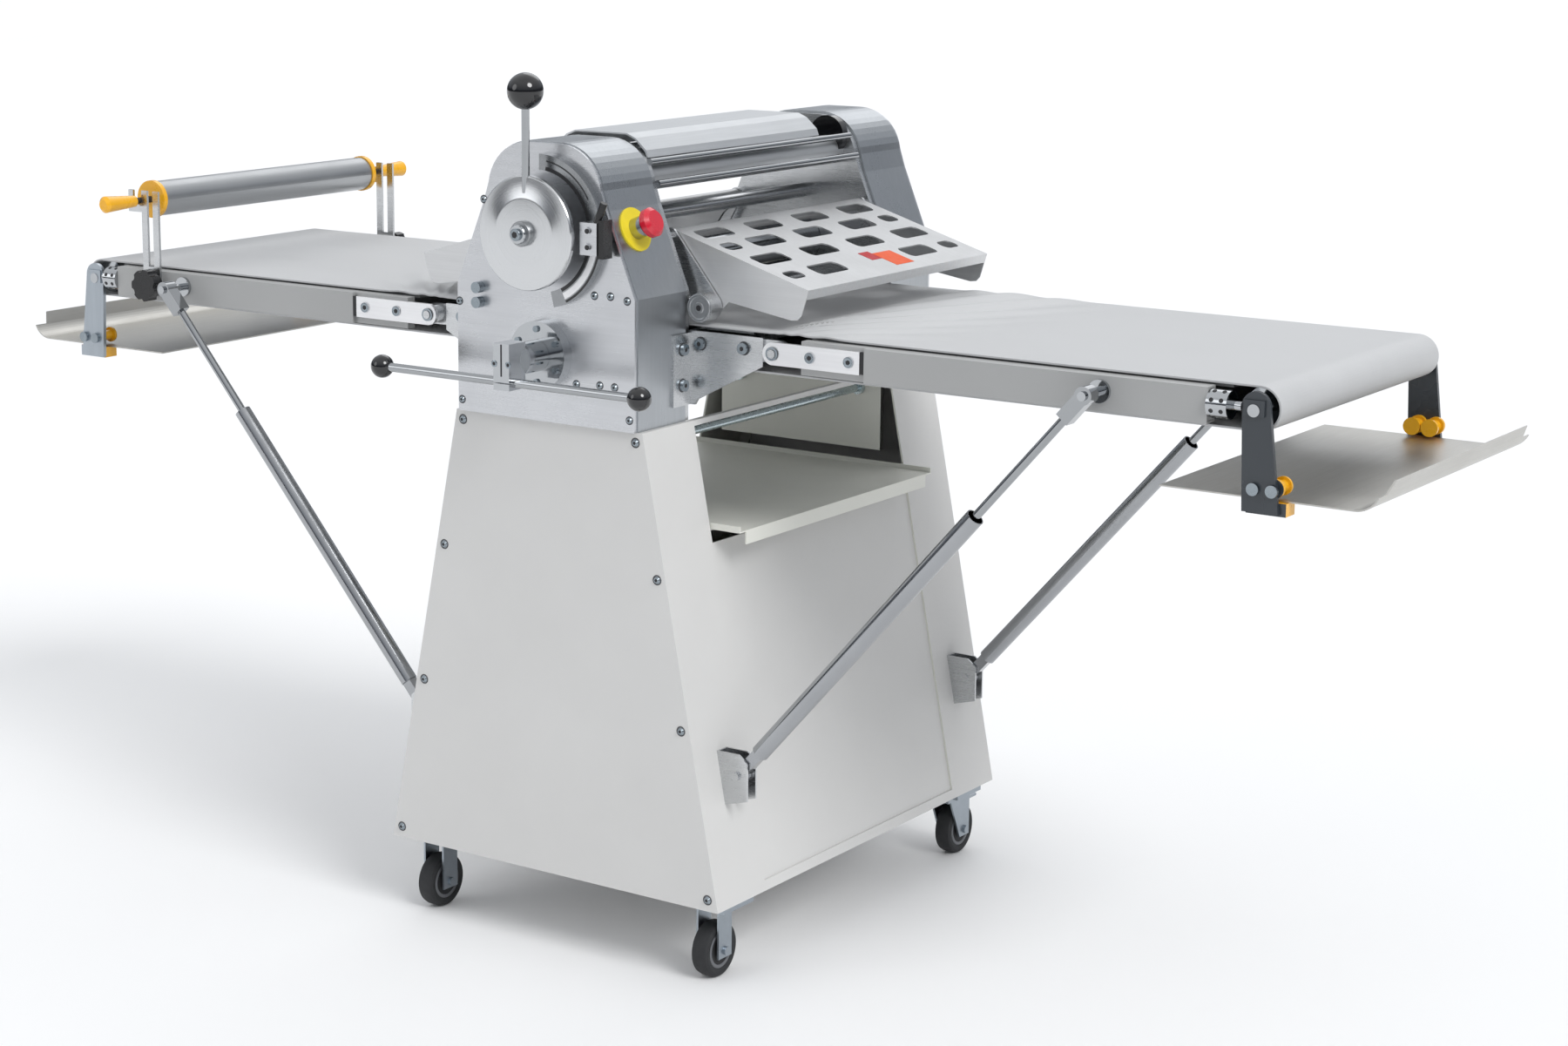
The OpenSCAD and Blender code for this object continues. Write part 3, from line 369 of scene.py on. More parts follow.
def finish_of(key, look):
    """The finish with that key, made once from the colours in the look settings."""
    if key in LIBRARY:
        return LIBRARY[key]
    makers = {
        "coat": lambda: powder_coat("White grey coat", look.coat),
        "coat_rail": lambda: powder_coat("Rail coat", look.rail, 0.38),
        "bright": lambda: brushed("Bright brushed sheet", look.sheet, 0.24, (0.03, 1, 1)),
        "satin": lambda: brushed("Satin wrap sheet", look.wrap, 0.3, (1, 1, 0.03)),
        "plate": lambda: brushed("Milled plate", look.plate, 0.27, (0.02, 1, 1)),
        "polished": lambda: polished("Polished bar", look.chrome, 0.09),
        "mirror": lambda: polished("Plated bar", shade(look.chrome, 0.8), 0.06),
        "zinc": lambda: brushed("Zinc plate", (0.36, 0.4, 0.44), 0.34, (1, 1, 1), 300.0),
        "disc": lambda: turned_face("Turned disc", (0.62, 0.63, 0.64), LEVER_X, LEVER_Z),
        "ring": lambda: polished("Scale ring steel", (0.3, 0.31, 0.32), 0.2),
        # Black arcs on the scale ring: painted shadow and shade.
        "painted_shadow_black": lambda: powder_coat("Black painted shadow", (0.02, 0.02, 0.022), 0.34),
        "ball": lambda: moulded("Black ball", (0.004, 0.004, 0.005), 0.1, 0.00001, 0.6),
        "knob": lambda: moulded("Black knob", (0.008, 0.008, 0.009), 0.26),
        "yellow": lambda: moulded("Yellow plastic", look.yellow, 0.28, 0.00003, 0.3),
        "yellow_plate": lambda: print_film("Yellow plate", (0.82, 0.66, 0.02)),
        "red": lambda: moulded("Red stop head", look.red, 0.22, 0.00002, 0.5),
        "belt": lambda: belt_cloth("Belt cloth", look.belt),
        # Dark tone of the end brackets: painted dark reflection.
        "bracket": lambda: powder_coat("Bracket with painted dark reflection", (0.035, 0.042, 0.05), 0.26),
        "tyre": lambda: rubber("Tyre rubber", (0.022, 0.023, 0.025)),
        "core": lambda: moulded("Wheel core", (0.13, 0.135, 0.145), 0.4),
        # Dark finish for dark parts, also used as painted shade in sockets, bores, holes, slots and
        # gaps.
        "dark": lambda: moulded("Dark parts and painted recess shade", (0.02, 0.02, 0.022), 0.6),
        "orange": lambda: print_film("Orange film", (0.72, 0.085, 0.008), 0.6),
        "scarlet": lambda: print_film("Scarlet film", (0.42, 0.008, 0.012), 0.6),
        "pin": lambda: brushed("Satin pin", (0.42, 0.43, 0.44), 0.34, (1, 0.03, 1)),
        "tube": lambda: polished("Tube satin", (0.38, 0.39, 0.405), 0.13),
        "link": lambda: brushed("Link bar", (0.86, 0.86, 0.87), 0.36, (0.03, 1, 1)),
        "bolt": lambda: polished("Dark bolt", (0.3, 0.34, 0.37), 0.22),
        "thread": lambda: threaded("Threaded rod", (0.5, 0.58, 0.6), 0.0016),
        "guard": lambda: brushed("Guard sheet", (0.54, 0.545, 0.55), 0.46, (0.03, 1, 1)),
        # Lighter copy of the guard sheet for its flanges: painted light.
        "guard_flange_painted_light": lambda: brushed("Guard flange with painted light", (0.68, 0.685, 0.69), 0.44, (0.03, 1, 1)),
        "flank": lambda: brushed("Rest disc face", (0.36, 0.37, 0.38), 0.36, (1, 1, 1)),
        "cover": lambda: brushed("Cover sheet", (0.6, 0.615, 0.63), 0.5, (1, 0.03, 1)),
        # Paler warm grey for interior faces: the interior's own grey paint, lifted as painted light
        # against its shade.
        "inner": lambda: powder_coat("Inner coat with painted light", (0.74, 0.74, 0.68), 0.5),
        # Dark ring round the screw heads: painted shadow.
        "painted_ring_shadow": lambda: moulded("Painted shadow ring", (0.06, 0.062, 0.066), 0.4),
        # Pale copy of the bracket finish: painted light.
        "bracket_painted_light": lambda: brushed("Bracket with painted light", (0.42, 0.46, 0.5), 0.34, (1, 1, 0.05)),
        "tray": lambda: brushed("Tray sheet", (0.54, 0.53, 0.5), 0.36, (1, 0.03, 1)),
    }
    LIBRARY[key] = makers[key]()
    return LIBRARY[key]


def give(piece, material):
    """Puts one material on a piece, in place of what it had."""
    piece.data.materials.clear()
    piece.data.materials.append(material)
    for face in piece.data.polygons:
        face.material_index = 0


def shells(piece):
    """Separate closed shells of a mesh, as (low corner, high corner, face numbers)."""
    mesh = piece.data
    lead = {}

    def find(key):
        while lead[key] != key:
            lead[key] = lead[lead[key]]
            key = lead[key]
        return key

    keys = [tuple(round(c, 6) for c in v.co) for v in mesh.vertices]
    for key in keys:
        lead.setdefault(key, key)
    for face in mesh.polygons:
        first = find(keys[face.vertices[0]])
        for v in face.vertices[1:]:
            lead[find(keys[v])] = first
    groups = {}
    for face in mesh.polygons:
        groups.setdefault(find(keys[face.vertices[0]]), []).append(face.index)
    found = []
    for numbers in groups.values():
        points = [mesh.vertices[v].co for f in numbers for v in mesh.polygons[f].vertices]
        low = Vector([min(p[i] for p in points) for i in range(3)])
        high = Vector([max(p[i] for p in points) for i in range(3)])
        found.append((low, high, numbers))
    return found


def paint_shells(node, material, test):
    """Gives another material to the shells of a frame node whose corners pass a test."""
    piece = NODES[node]
    piece.data.materials.append(material)
    last = len(piece.data.materials) - 1
    count = 0
    for low, high, numbers in shells(piece):
        if test(low, high):
            count += 1
            for f in numbers:
                piece.data.polygons[f].material_index = last
    if not count:
        raise ValueError("no shell of %s passed the test" % node)


def paint_faces(node, material, test):
    """Gives another material to the faces of a frame node whose middle and normal pass a test."""
    piece = NODES[node]
    piece.data.materials.append(material)
    last = len(piece.data.materials) - 1
    for face in piece.data.polygons:
        if test(face.center, face.normal):
            face.material_index = last


# --------------------------------------------------------------- the settings


class SheeterSizes(bpy.types.PropertyGroup):
    """Sizes of the parts that are made here."""

    belt_thick: bpy.props.FloatProperty(
        name="Belt thickness", description="Thickness of the belt cloth",
        default=0.003, min=0.001, max=0.006, unit="LENGTH")
    belt_slack: bpy.props.FloatProperty(
        name="Belt slack", description="Height of the soft waves in the belt by the fold",
        default=0.0105, min=0.0, max=0.012, unit="LENGTH")


class SheeterLook(bpy.types.PropertyGroup):
    """Colours of the finishes."""

    coat: bpy.props.FloatVectorProperty(
        name="Cabinet", description="Colour of the cabinet's coat",
        subtype="COLOR", size=3, default=(0.63, 0.625, 0.612), min=0, max=1)
    rail: bpy.props.FloatVectorProperty(
        name="Rails", description="Colour of the wing rails",
        subtype="COLOR", size=3, default=(0.37, 0.373, 0.37), min=0, max=1)
    sheet: bpy.props.FloatVectorProperty(
        name="Sheet metal", description="Tint of the bright sheet metal",
        subtype="COLOR", size=3, default=(0.6, 0.61, 0.62), min=0, max=1)
    wrap: bpy.props.FloatVectorProperty(
        name="Head wrap", description="Tint of the head's satin wrap",
        subtype="COLOR", size=3, default=(0.44, 0.46, 0.48), min=0, max=1)
    plate: bpy.props.FloatVectorProperty(
        name="Head plates", description="Tint of the head's milled plates",
        subtype="COLOR", size=3, default=(0.6, 0.61, 0.63), min=0, max=1)
    chrome: bpy.props.FloatVectorProperty(
        name="Plated parts", description="Tint of the plated bars",
        subtype="COLOR", size=3, default=(0.46, 0.475, 0.49), min=0, max=1)
    belt: bpy.props.FloatVectorProperty(
        name="Belts", description="Colour of the belt cloth",
        subtype="COLOR", size=3, default=(0.52, 0.525, 0.53), min=0, max=1)
    yellow: bpy.props.FloatVectorProperty(
        name="Yellow", description="Colour of the yellow plastic",
        subtype="COLOR", size=3, default=(0.86, 0.43, 0.01), min=0, max=1)
    red: bpy.props.FloatVectorProperty(
        name="Red", description="Colour of the stop head",
        subtype="COLOR", size=3, default=(0.6, 0.01, 0.03), min=0, max=1)


NODE_FINISH = {
    "coat": ["cabinet_shell", "cover_panels", "side_panels"],
    "coat_rail": ["wing_frame_right", "wing_frame_left"],
    "bright": ["side_frames", "wing_brackets", "fixed_beds", "pin_holders",
               "guard_shaft_right", "guard_shaft_left"],
    "guard": ["guard_right", "guard_left"],
    "cover": ["top_cover"],
    "tray": ["catch_tray_right", "catch_tray_left"],
    # The crumb tray gets the same paler grey, lifted as painted light.
    "inner": ["crumb_tray"],
    "satin": ["head_covers", "roller_carriage"],
    "plate": ["head_plates", "gap_stop"],
    "polished": ["handle_flange", "handle_hub", "wing_fittings_right",
                 "wing_fittings_left", "end_roller_right",
                 "end_roller_left", "drive_roller_right", "drive_roller_left"],
    "bolt": ["screws"],
    "tube": ["strut_tubes_right", "strut_tubes_left"],
    "mirror": ["cross_rods", "lower_roller", "upper_roller", "lever_rod", "handle_bar",
               "strut_rods_right", "strut_rods_left"],
    "zinc": ["caster_mounts", "fork_rear_right", "fork_rear_left"],
    "disc": ["lever_disc"],
    "ring": ["scale_ring"],
    "ball": ["lever_ball", "handle_balls"],
    "knob": ["pin_knobs"],
    "yellow_plate": ["estop_base"],
    "red": ["estop_button"],
    "belt": ["fixed_belts", "wing_belt_right", "wing_belt_left"],
    "bracket": ["end_brackets_right", "end_brackets_left"],
    "tyre": ["wheel_front_right", "wheel_front_left", "wheel_rear_right", "wheel_rear_left"],
    "pin": ["rolling_pin"],
}


class SHEETER_OT_finishes(bpy.types.Operator):
    """Gives every frame node its finish."""

    bl_idname = "sheeter.finishes"
    bl_label = "Frame Finishes"

    def execute(self, context):
        look = context.scene.sheeter_look
        for key, names in NODE_FINISH.items():
            for name in names:
                give(NODES[name], finish_of(key, look))
        # Inward faces of the side frames and cabinet get the paler inner grey: real grey paint, lifted
        # as painted light against the shade inside.
        paint_faces("side_frames", finish_of("inner", look),
                    lambda at, out: out.y * at.y < -0.1 and at.z < 0.86)
        paint_faces("cabinet_shell", finish_of("inner", look),
                    lambda at, out: out.x * at.x + out.y * at.y < -0.05)
        # Flanges and end lips get a lighter copy of the guard sheet, chosen by the way the faces
        # point: painted light.
        for side in ("right", "left"):
            paint_faces("guard_" + side, finish_of("guard_flange_painted_light", look),
                        lambda at, out: abs(out.y) > 0.7 or abs(out.x) > 0.75 and abs(at.x) > 0.33)
        for side in ("right", "left"):
            paint_shells("wing_fittings_" + side, finish_of("bolt", look),
                         lambda low, high: high.z < 0.8)
            paint_faces("end_brackets_" + side, finish_of("yellow", look),
                        lambda at, out: at.z < 0.80 and abs(at.y) < 0.2635)
            paint_shells("wing_fittings_" + side, finish_of("link", look),
                         lambda low, high: 0.286 < min(abs(low.x), abs(high.x)) < 0.289)
        paint_shells("cross_rods", finish_of("ball", look),
                     lambda low, high: high.y - low.y < 0.02)
        paint_shells("cross_rods", finish_of("thread", look), lambda low, high: high.z < 0.8)
        paint_shells("cross_rods", finish_of("cover", look),
                     lambda low, high: 0.04 < high.x - low.x < 0.05)
        # The left brackets get a pale copy of the bracket finish as painted light, while the right
        # ones keep the dark tone as painted dark reflection.
        paint_faces("end_brackets_left", finish_of("bracket_painted_light", look),
                    lambda at, out: not (at.z < 0.80 and abs(at.y) < 0.2635))
        paint_faces("rolling_pin", finish_of("yellow", look),
                    lambda at, out: 0.2455 < abs(at.y) < 0.2545 or abs(at.y) > 0.2905)
        paint_faces("rolling_pin", finish_of("dark", look),
                    lambda at, out: 0.2545 < abs(at.y) < 0.2905)
        paint_faces("gap_stop", finish_of("knob", look),
                    lambda at, out: at.x > 0.1115 or at.z > 1.0605)
        paint_faces("handle_flange", finish_of("bolt", look), lambda at, out: at.y < -0.4083)
        axis = Vector((0.925, 0, 0.379))
        foot = Vector((STOP_X, -0.342, STOP_Z))
        paint_faces("estop_base", finish_of("polished", look),
                    lambda at, out: ((at - foot) - axis * (at - foot).dot(axis)).length < 0.0156)
        return {"FINISHED"}


class SHEETER_OT_stage(bpy.types.Operator):
    """Adds the floor, the lights and the camera."""

    bl_idname = "sheeter.stage"
    bl_label = "Stage"

    def execute(self, context):
        scene = context.scene
        bm = bmesh.new()
        bmesh.ops.create_grid(bm, x_segments=8, y_segments=8, size=40)
        floor = from_bmesh("floor", bm, smooth=False)
        s = Shader("Pale floor")
        s.color(s.ramp(s.noise(0.7, 2), [(0.3, (0.88, 0.88, 0.88)), (0.7, (0.9, 0.9, 0.9))]))
        s.rough(s.spread(s.noise(3.0, 2), 0.75, 0.85))
        give(floor, s.material)

        world = bpy.data.worlds.new("Studio")
        world.use_nodes = True
        scene.world = world
        tree = world.node_tree
        back_light = tree.nodes["Background"]
        back_light.inputs["Strength"].default_value = 0.66
        place = tree.nodes.new("ShaderNodeTexCoord")
        split = tree.nodes.new("ShaderNodeSeparateXYZ")
        tree.links.new(place.outputs["Generated"], split.inputs["Vector"])
        sky = tree.nodes.new("ShaderNodeValToRGB")
        stops = sky.color_ramp.elements
        stops[0].position, stops[0].color = 0.0, (0.1, 0.11, 0.12, 1)
        stops[1].position, stops[1].color = 0.8, (1.35, 1.37, 1.4, 1)
        low, middle = stops.new(0.1), stops.new(0.24)
        low.color = (0.16, 0.17, 0.2, 1)
        middle.color = (0.62, 0.66, 0.72, 1)
        tree.links.new(split.outputs["Z"], sky.inputs["Fac"])
        plain = tree.nodes.new("ShaderNodeBackground")
        plain.inputs["Color"].default_value = (0.86, 0.87, 0.88, 1)
        path = tree.nodes.new("ShaderNodeLightPath")
        mix = tree.nodes.new("ShaderNodeMixShader")
        tree.links.new(sky.outputs["Color"], back_light.inputs["Color"])
        tree.links.new(path.outputs["Is Camera Ray"], mix.inputs[0])
        tree.links.new(back_light.outputs[0], mix.inputs[1])
        tree.links.new(plain.outputs[0], mix.inputs[2])
        tree.links.new(mix.outputs[0], tree.nodes["World Output"].inputs["Surface"])

        for name, at, aim, power, spread in (
            ("key", (5.4, -1.7, 5.2), (0, 0, 0.5), 1.6, 26),
            ("fill", (-3.4, -4.2, 2.6), (0, 0, 0.6), 0.3, 30),
            ("back", (-1.5, 4.5, 4.0), (0, 0, 0.6), 0.35, 40),
        ):
            data = bpy.data.lights.new(name, "SUN")
            data.energy = power
            data.angle = math.radians(spread)
            lamp = bpy.data.objects.new(name, data)
            scene.collection.objects.link(lamp)
            lamp.location = at
            lamp.rotation_euler = (Vector(aim) - Vector(at)).to_track_quat("-Z", "Y").to_euler()

        turn, rise, roll = math.radians(36.0), math.radians(11.5), math.radians(0.088)
        back = Vector((math.sin(turn) * math.cos(rise), -math.cos(turn) * math.cos(rise),
                       math.sin(rise)))
        right = Vector((math.cos(turn), math.sin(turn), 0))
        up = back.cross(right)
        right, up = (right * math.cos(roll) + up * math.sin(roll),
                     up * math.cos(roll) - right * math.sin(roll))
        lens = bpy.data.cameras.new("camera")
        lens.lens, lens.sensor_width = 68.96, 36.0
        lens.shift_x, lens.shift_y = 0.0984, -0.0314
        lens.clip_end = 200
        camera = bpy.data.objects.new("camera", lens)
        scene.collection.objects.link(camera)
        basis = Matrix((right, up, back)).transposed().to_4x4()
        camera.matrix_world = Matrix.Translation((2.5020, -3.6333, 1.5322)) @ basis
        scene.camera = camera
        scene.view_settings.view_transform = "Standard"
        return {"FINISHED"}


# ------------------------------------------------------------------ the belts


def belt_path():
    """Centre line of the right belt round its rollers: (x, z, 1 on the upper run)."""
    radius = BELT_TOP - ROLL_Z - 0.0015
    points = []
    for i in range(BELT_TOP_STEPS + 1):
        points.append((DRIVE_X + (END_X - DRIVE_X) * i / BELT_TOP_STEPS, ROLL_Z + radius, 1.0))
    for i in range(1, BELT_TURN_STEPS):
        a = math.pi / 2 - math.pi * i / BELT_TURN_STEPS
        points.append((END_X + radius * math.cos(a), ROLL_Z + radius * math.sin(a), 0.0))
    for i in range(BELT_UNDER_STEPS + 1):
        points.append((END_X - (END_X - DRIVE_X) * i / BELT_UNDER_STEPS, ROLL_Z - radius, 0.0))
    for i in range(1, BELT_TURN_STEPS):
        a = -math.pi / 2 - math.pi * i / BELT_TURN_STEPS
        points.append((DRIVE_X + radius * math.cos(a), ROLL_Z + radius * math.sin(a), 0.0))
    return points


def slack_wave(x, y, height):
    """Lift of the upper run: soft folds that fan out from the front corner by the fold."""
    fan = math.degrees(math.atan2(y + 0.36, x - 0.235))
    lift = 0.0
    for at, wide, share in ((37, 3.6, 0.8), (48, 2.8, 0.7), (56, 2.4, 0.85), (62.5, 2.0, 0.9),
                            (69, 2.0, 1.0), (75.5, 2.2, 0.95), (82, 2.2, 0.8)):
        lift += share * math.exp(-((fan - at) / wide) ** 2)
    rise = min(1.0, max(0.0, (x - 0.265) / 0.07))
    fall = 1.0 / (1.0 + math.exp((x - 0.455 - 0.12 * y) / 0.028))
    edge = max(0.0, 1 - (abs(y) / BELT_HALF) ** 10)
    return height * lift * rise * rise * (3 - 2 * rise) * fall * (0.25 + 0.75 * edge)


class SHEETER_OT_belts(bpy.types.Operator):
    """Adds one continuous belt round the rollers of each wing."""

    bl_idname = "sheeter.belts"
    bl_label = "Belts"

    def execute(self, context):
        sizes = context.scene.sheeter_sizes
        cloth = finish_of("belt", context.scene.sheeter_look)
        path = belt_path()
        across = BELT_COLUMNS
        half = sizes.belt_thick / 2
        for side, sign in (("right", 1), ("left", -1)):
            bm = bmesh.new()
            rows = []
            count = len(path)
            for i, (x, z, top) in enumerate(path):
                before, after = path[i - 1], path[(i + 1) % count]
                run = Vector((after[0] - before[0], 0, after[1] - before[1])).normalized()
                normal = Vector((-run.z, 0, run.x))
                ring = []
                for level in (half, -half):
                    for k in range(across + 1):
                        y = -BELT_HALF + 2 * BELT_HALF * k / across
                        if level < 0:
                            y = -y
                        lift = slack_wave(x, y, sizes.belt_slack) if top else 0.0
                        p = Vector((x, y, z)) + normal * level + Vector((0, 0, lift))
                        ring.append(Vector((p.x * sign, p.y, p.z)))
                rows.append(ring)
            loft(bm, rows + [rows[0]], cap=False)
            bmesh.ops.remove_doubles(bm, verts=bm.verts, dist=1e-6)
            belt = from_bmesh("belt_" + side, bm)
            soften(belt, 0.0007, 50)
            give(belt, cloth)
            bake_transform(belt)
            if side == "right":
                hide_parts("wing_belt_right", "fixed_belts")
            else:
                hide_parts("wing_belt_left")
        return {"FINISHED"}


# ------------------------------------------------------------- small details


def disc_stack(name, centre, axis, profile, material, body, steps=40):
    """A turned piece with its finish, riding on a body."""
    bm = bmesh.new()
    turned(bm, centre, axis, profile, steps)
    piece = from_bmesh(name, bm)
    soften(piece, 0.0004, 30)
    give(piece, material)
    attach(piece, body)
    return piece


def plate(bm, corners, thick_by):
    """A flat plate: its corners in order, and the vector of its thickness."""
    thick_by = Vector(thick_by)
    loft(bm, [[Vector(c) for c in corners], [Vector(c) + thick_by for c in corners]])


def hexagon(bm, centre, axis, radius, depth):
    """A hexagonal plug, for the socket of a screw; given the dark finish, it is painted shade in the
    socket.
    """
    turned(bm, centre, axis, [(0, radius), (depth, radius)], 6)


class SHEETER_OT_screw_sockets(bpy.types.Operator):
    """Adds a dark ring of painted shadow round every screw of the base, and a dark hex plug of painted
    shade in its socket.
    """

    bl_idname = "sheeter.screw_sockets"
    bl_label = "Screw Sockets"

    def execute(self, context):
        look = context.scene.sheeter_look
        sockets, shadow_loops = bmesh.new(), bmesh.new()
        for low, high, _ in shells(NODES["screws"]):
            size = high - low
            thin = min(range(3), key=lambda i: size[i])
            if size[thin] > 0.7 * max(size):
                continue
            middle = (low + high) / 2
            sign = 1 if middle[thin] > 0 else -1
            axis = Vector([sign if i == thin else 0 for i in range(3)])
            radius = max(size) / 2
            top = middle + axis * size[thin] / 2
            # Dark hex plug on the head: painted shade in the socket.
            hexagon(sockets, top - axis * 0.0003, axis, radius * 0.42, 0.0004)
            # Dark ring round the foot of the head: painted shadow in the gap round the screw.
            turned(shadow_loops, middle - axis * size[thin] / 2, axis,
                   [(0, radius * 1.22), (0.0005, radius * 1.18)], 24)
        for name, bm, key in (("screw_sockets", sockets, "dark"),
                              ("screw_painted_shadow_rings", shadow_loops, "painted_ring_shadow")):
            piece = from_bmesh(name, bm, smooth=False)
            give(piece, finish_of(key, look))
            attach(piece, "base")
        return {"FINISHED"}


class SHEETER_OT_wheels(bpy.types.Operator):
    """Adds the caster wheels: a crowned tyre round a ringed core with a boss."""

    bl_idname = "sheeter.wheels"
    bl_label = "Caster Wheels"

    def execute(self, context):
        look = context.scene.sheeter_look
        for node in NODE_FINISH["tyre"]:
            low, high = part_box(node)
            middle = (low + high) / 2
            r = (high.z - low.z) / 2
            w = (high.x - low.x) / 2
            tyre = [(-w * 0.8, r * 0.66), (-w * 0.93, r * 0.74), (-w * 0.96, r * 0.86),
                    (-w * 0.82, r * 0.955), (-w * 0.5, r * 0.99), (0, r), (w * 0.5, r * 0.99),
                    (w * 0.82, r * 0.955), (w * 0.96, r * 0.86), (w * 0.93, r * 0.74),
                    (w * 0.8, r * 0.66)]
            half = [(w, 0.0), (w, r * 0.2), (w * 0.9, r * 0.23), (w * 0.62, r * 0.25),
                    (w * 0.6, r * 0.5), (w * 0.72, r * 0.53), (w * 0.86, r * 0.56),
                    (w * 0.88, r * 0.64), (w * 0.82, r * 0.68)]
            core = [(-a, b) for a, b in half] + half[::-1]
            rim = disc_stack(node + "_tyre", middle, (1, 0, 0), tyre, finish_of("tyre", look),
                             node, 56)
            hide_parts(node)
            disc_stack(node + "_core", middle, (1, 0, 0), core, finish_of("core", look), node, 48)
            for sign in (-1, 1):
                disc_stack("%s_bolt_%s" % (node, "out" if sign > 0 else "in"),
                           middle + Vector((sign * w, 0, 0)), (sign, 0, 0),
                           [(0.0, 0.0065), (0.0009, 0.0065), (0.0012, 0.005)],
                           finish_of("bolt", look), node, 24)
        return {"FINISHED"}


class SHEETER_OT_lever_disc(bpy.types.Operator):
    """Adds the turned disc of the gap lever with its hub and nut, and a dark hex plug of painted shade
    for its bore.
    """

    bl_idname = "sheeter.lever_disc"
    bl_label = "Lever Disc"

    def execute(self, context):
        look = context.scene.sheeter_look
        low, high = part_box("lever_disc")
        middle = (low + high) / 2
        centre = Vector((middle.x, 0, middle.z))
        back = (0, -1, 0)
        disc = [(-high.y, 0.0), (-high.y, 0.011), (0.4235, 0.011), (0.4238, 0.0775), (0.425, 0.079),
                (0.4315, 0.079), (0.4335, 0.0775), (0.4352, 0.051), (0.4357, 0.0498),
                (0.436, 0.048), (0.4362, 0.046), (0.4362, 0.0)]
        face = disc_stack("lever_face", centre, back, disc, finish_of("disc", look), "lever", 96)
        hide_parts("lever_disc")
        disc_stack("lever_collar", centre, back,
                   [(0.436, 0.0175), (0.4425, 0.0175), (0.4445, 0.0165), (0.4448, 0.0)],
                   finish_of("flank", look), "lever")
        disc_stack("lever_hub", centre, back,
                   [(0.4445, 0.0135), (0.4495, 0.0135), (0.4512, 0.0125), (0.4514, 0.0)],
                   finish_of("polished", look), "lever")
        disc_stack("lever_screw", centre, back,
                   [(0.451, 0.0085), (0.4545, 0.0085), (0.4558, 0.0072), (0.4558, 0.0)],
                   finish_of("bolt", look), "lever")
        # Dark hex plug: painted shade in the screw's socket.
        bm = bmesh.new()
        hexagon(bm, centre + Vector((0, -0.4552, 0)), back, 0.0048, 0.0007)
        socket = from_bmesh("lever_socket", bm, smooth=False)
        give(socket, finish_of("dark", look))
        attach(socket, "lever")
        return {"FINISHED"}


class SHEETER_OT_scale_arc(bpy.types.Operator):
    """Adds the painted highlight and painted shadow arcs on the scale ring, and the stop block's two
    screws.
    """

    bl_idname = "sheeter.scale_arc"
    bl_label = "Scale Arc"

    def execute(self, context):
        look = context.scene.sheeter_look
        face = span("scale_ring", 1)[0]
        centre_z = sum(span("lever_disc", 2)) / 2
        # A pale arc of painted highlight on the ring's lower part, in the link bars' finish; black
        # arcs of painted shadow along its edges and of painted shade on its upper part.
        for name, inner, outer, start, stop, key in (
            ("scale_painted_highlight_low", 0.0915, 0.1005, -7, -63.5, "link"),
            ("scale_painted_shadow_low", 0.1022, 0.1056, -7, -63.5, "painted_shadow_black"),
            ("scale_painted_shadow_inner", 0.0845, 0.0895, 82, -63.5, "painted_shadow_black"),
            ("scale_painted_shade_high", 0.0965, 0.0985, 82, 30, "painted_shadow_black"),
        ):
            bm = bmesh.new()
            rings = []
            for i in range(41):
                a = math.radians(start + (stop - start) * i / 40)
                ring = []
                for r, y in ((inner, face + 0.0004), (inner, face - 0.0002),
                             (outer, face - 0.0002), (outer, face + 0.0004)):
                    ring.append(Vector((r * math.cos(a), y, centre_z + r * math.sin(a))))
                rings.append(ring)
            loft(bm, rings)
            arc = from_bmesh(name, bm, smooth=False)
            give(arc, finish_of(key, look))
            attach(arc, "base")
        bm = bmesh.new()
        face = span("gap_stop", 1)[0]
        for z in (1.026, 1.048):
            turned(bm, (0.098, face + 0.0006, z), (0, -1, 0), [(0, 0.0036), (0.0011, 0.0034)], 20)
        screws = from_bmesh("stop_screws", bm, smooth=False)
        give(screws, finish_of("dark", look))
        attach(screws, "gap_stop")
        return {"FINISHED"}


class SHEETER_OT_clamp_details(bpy.types.Operator):
    """Adds the slot of the shift handle's clamp as a dark strip of painted shade, and its two socket
    screws with dark hex plugs of painted shade in their sockets.
    """

    bl_idname = "sheeter.clamp_details"
    bl_label = "Clamp Details"

    def execute(self, context):
        look = context.scene.sheeter_look
        low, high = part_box("handle_hub")
        bar = sum(span("handle_bar", 2)) / 2
        # The slot is a thin dark plate: painted shade.
        bm = bmesh.new()
        face, foot, top = low.y + 0.0004, bar + 0.009, high.z - 0.001
        plate(bm, [(-0.0012, face, foot), (0.0012, face, foot), (0.0012, face, top),
                   (-0.0012, face, top)], (0, -0.0007, 0))
        slot = from_bmesh("clamp_slot", bm, smooth=False)
        give(slot, finish_of("dark", look))
        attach(slot, "shift_handle")
        heads, sockets = bmesh.new(), bmesh.new()
        for x in (-0.012, 0.012):
            spot = Vector((x, face, bar + 0.026))
            turned(heads, spot, (0, -1, 0), [(0, 0.0048), (0.0009, 0.0048), (0.0012, 0.004)], 24)
            # Dark hex plug: painted shade in the screw's socket.
            hexagon(sockets, spot + Vector((0, -0.0009, 0)), (0, -1, 0), 0.0026, 0.0005)
        for name, mesh, key in (("clamp_heads", heads, "bolt"), ("clamp_sockets", sockets, "dark")):
            piece = from_bmesh(name, mesh, smooth=False)
            give(piece, finish_of(key, look))
            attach(piece, "shift_handle")
        return {"FINISHED"}


def guard_point(sign, s, y, t):
    """A point on a guard: s along its slope from the hinge, t above its plane, y across."""
    x = GUARD_HINGE_X + s * math.cos(GUARD_SLOPE) + t * math.sin(GUARD_SLOPE)
    z = GUARD_HINGE_Z - s * math.sin(GUARD_SLOPE) + t * math.cos(GUARD_SLOPE)
    return Vector((sign * x, y, z))


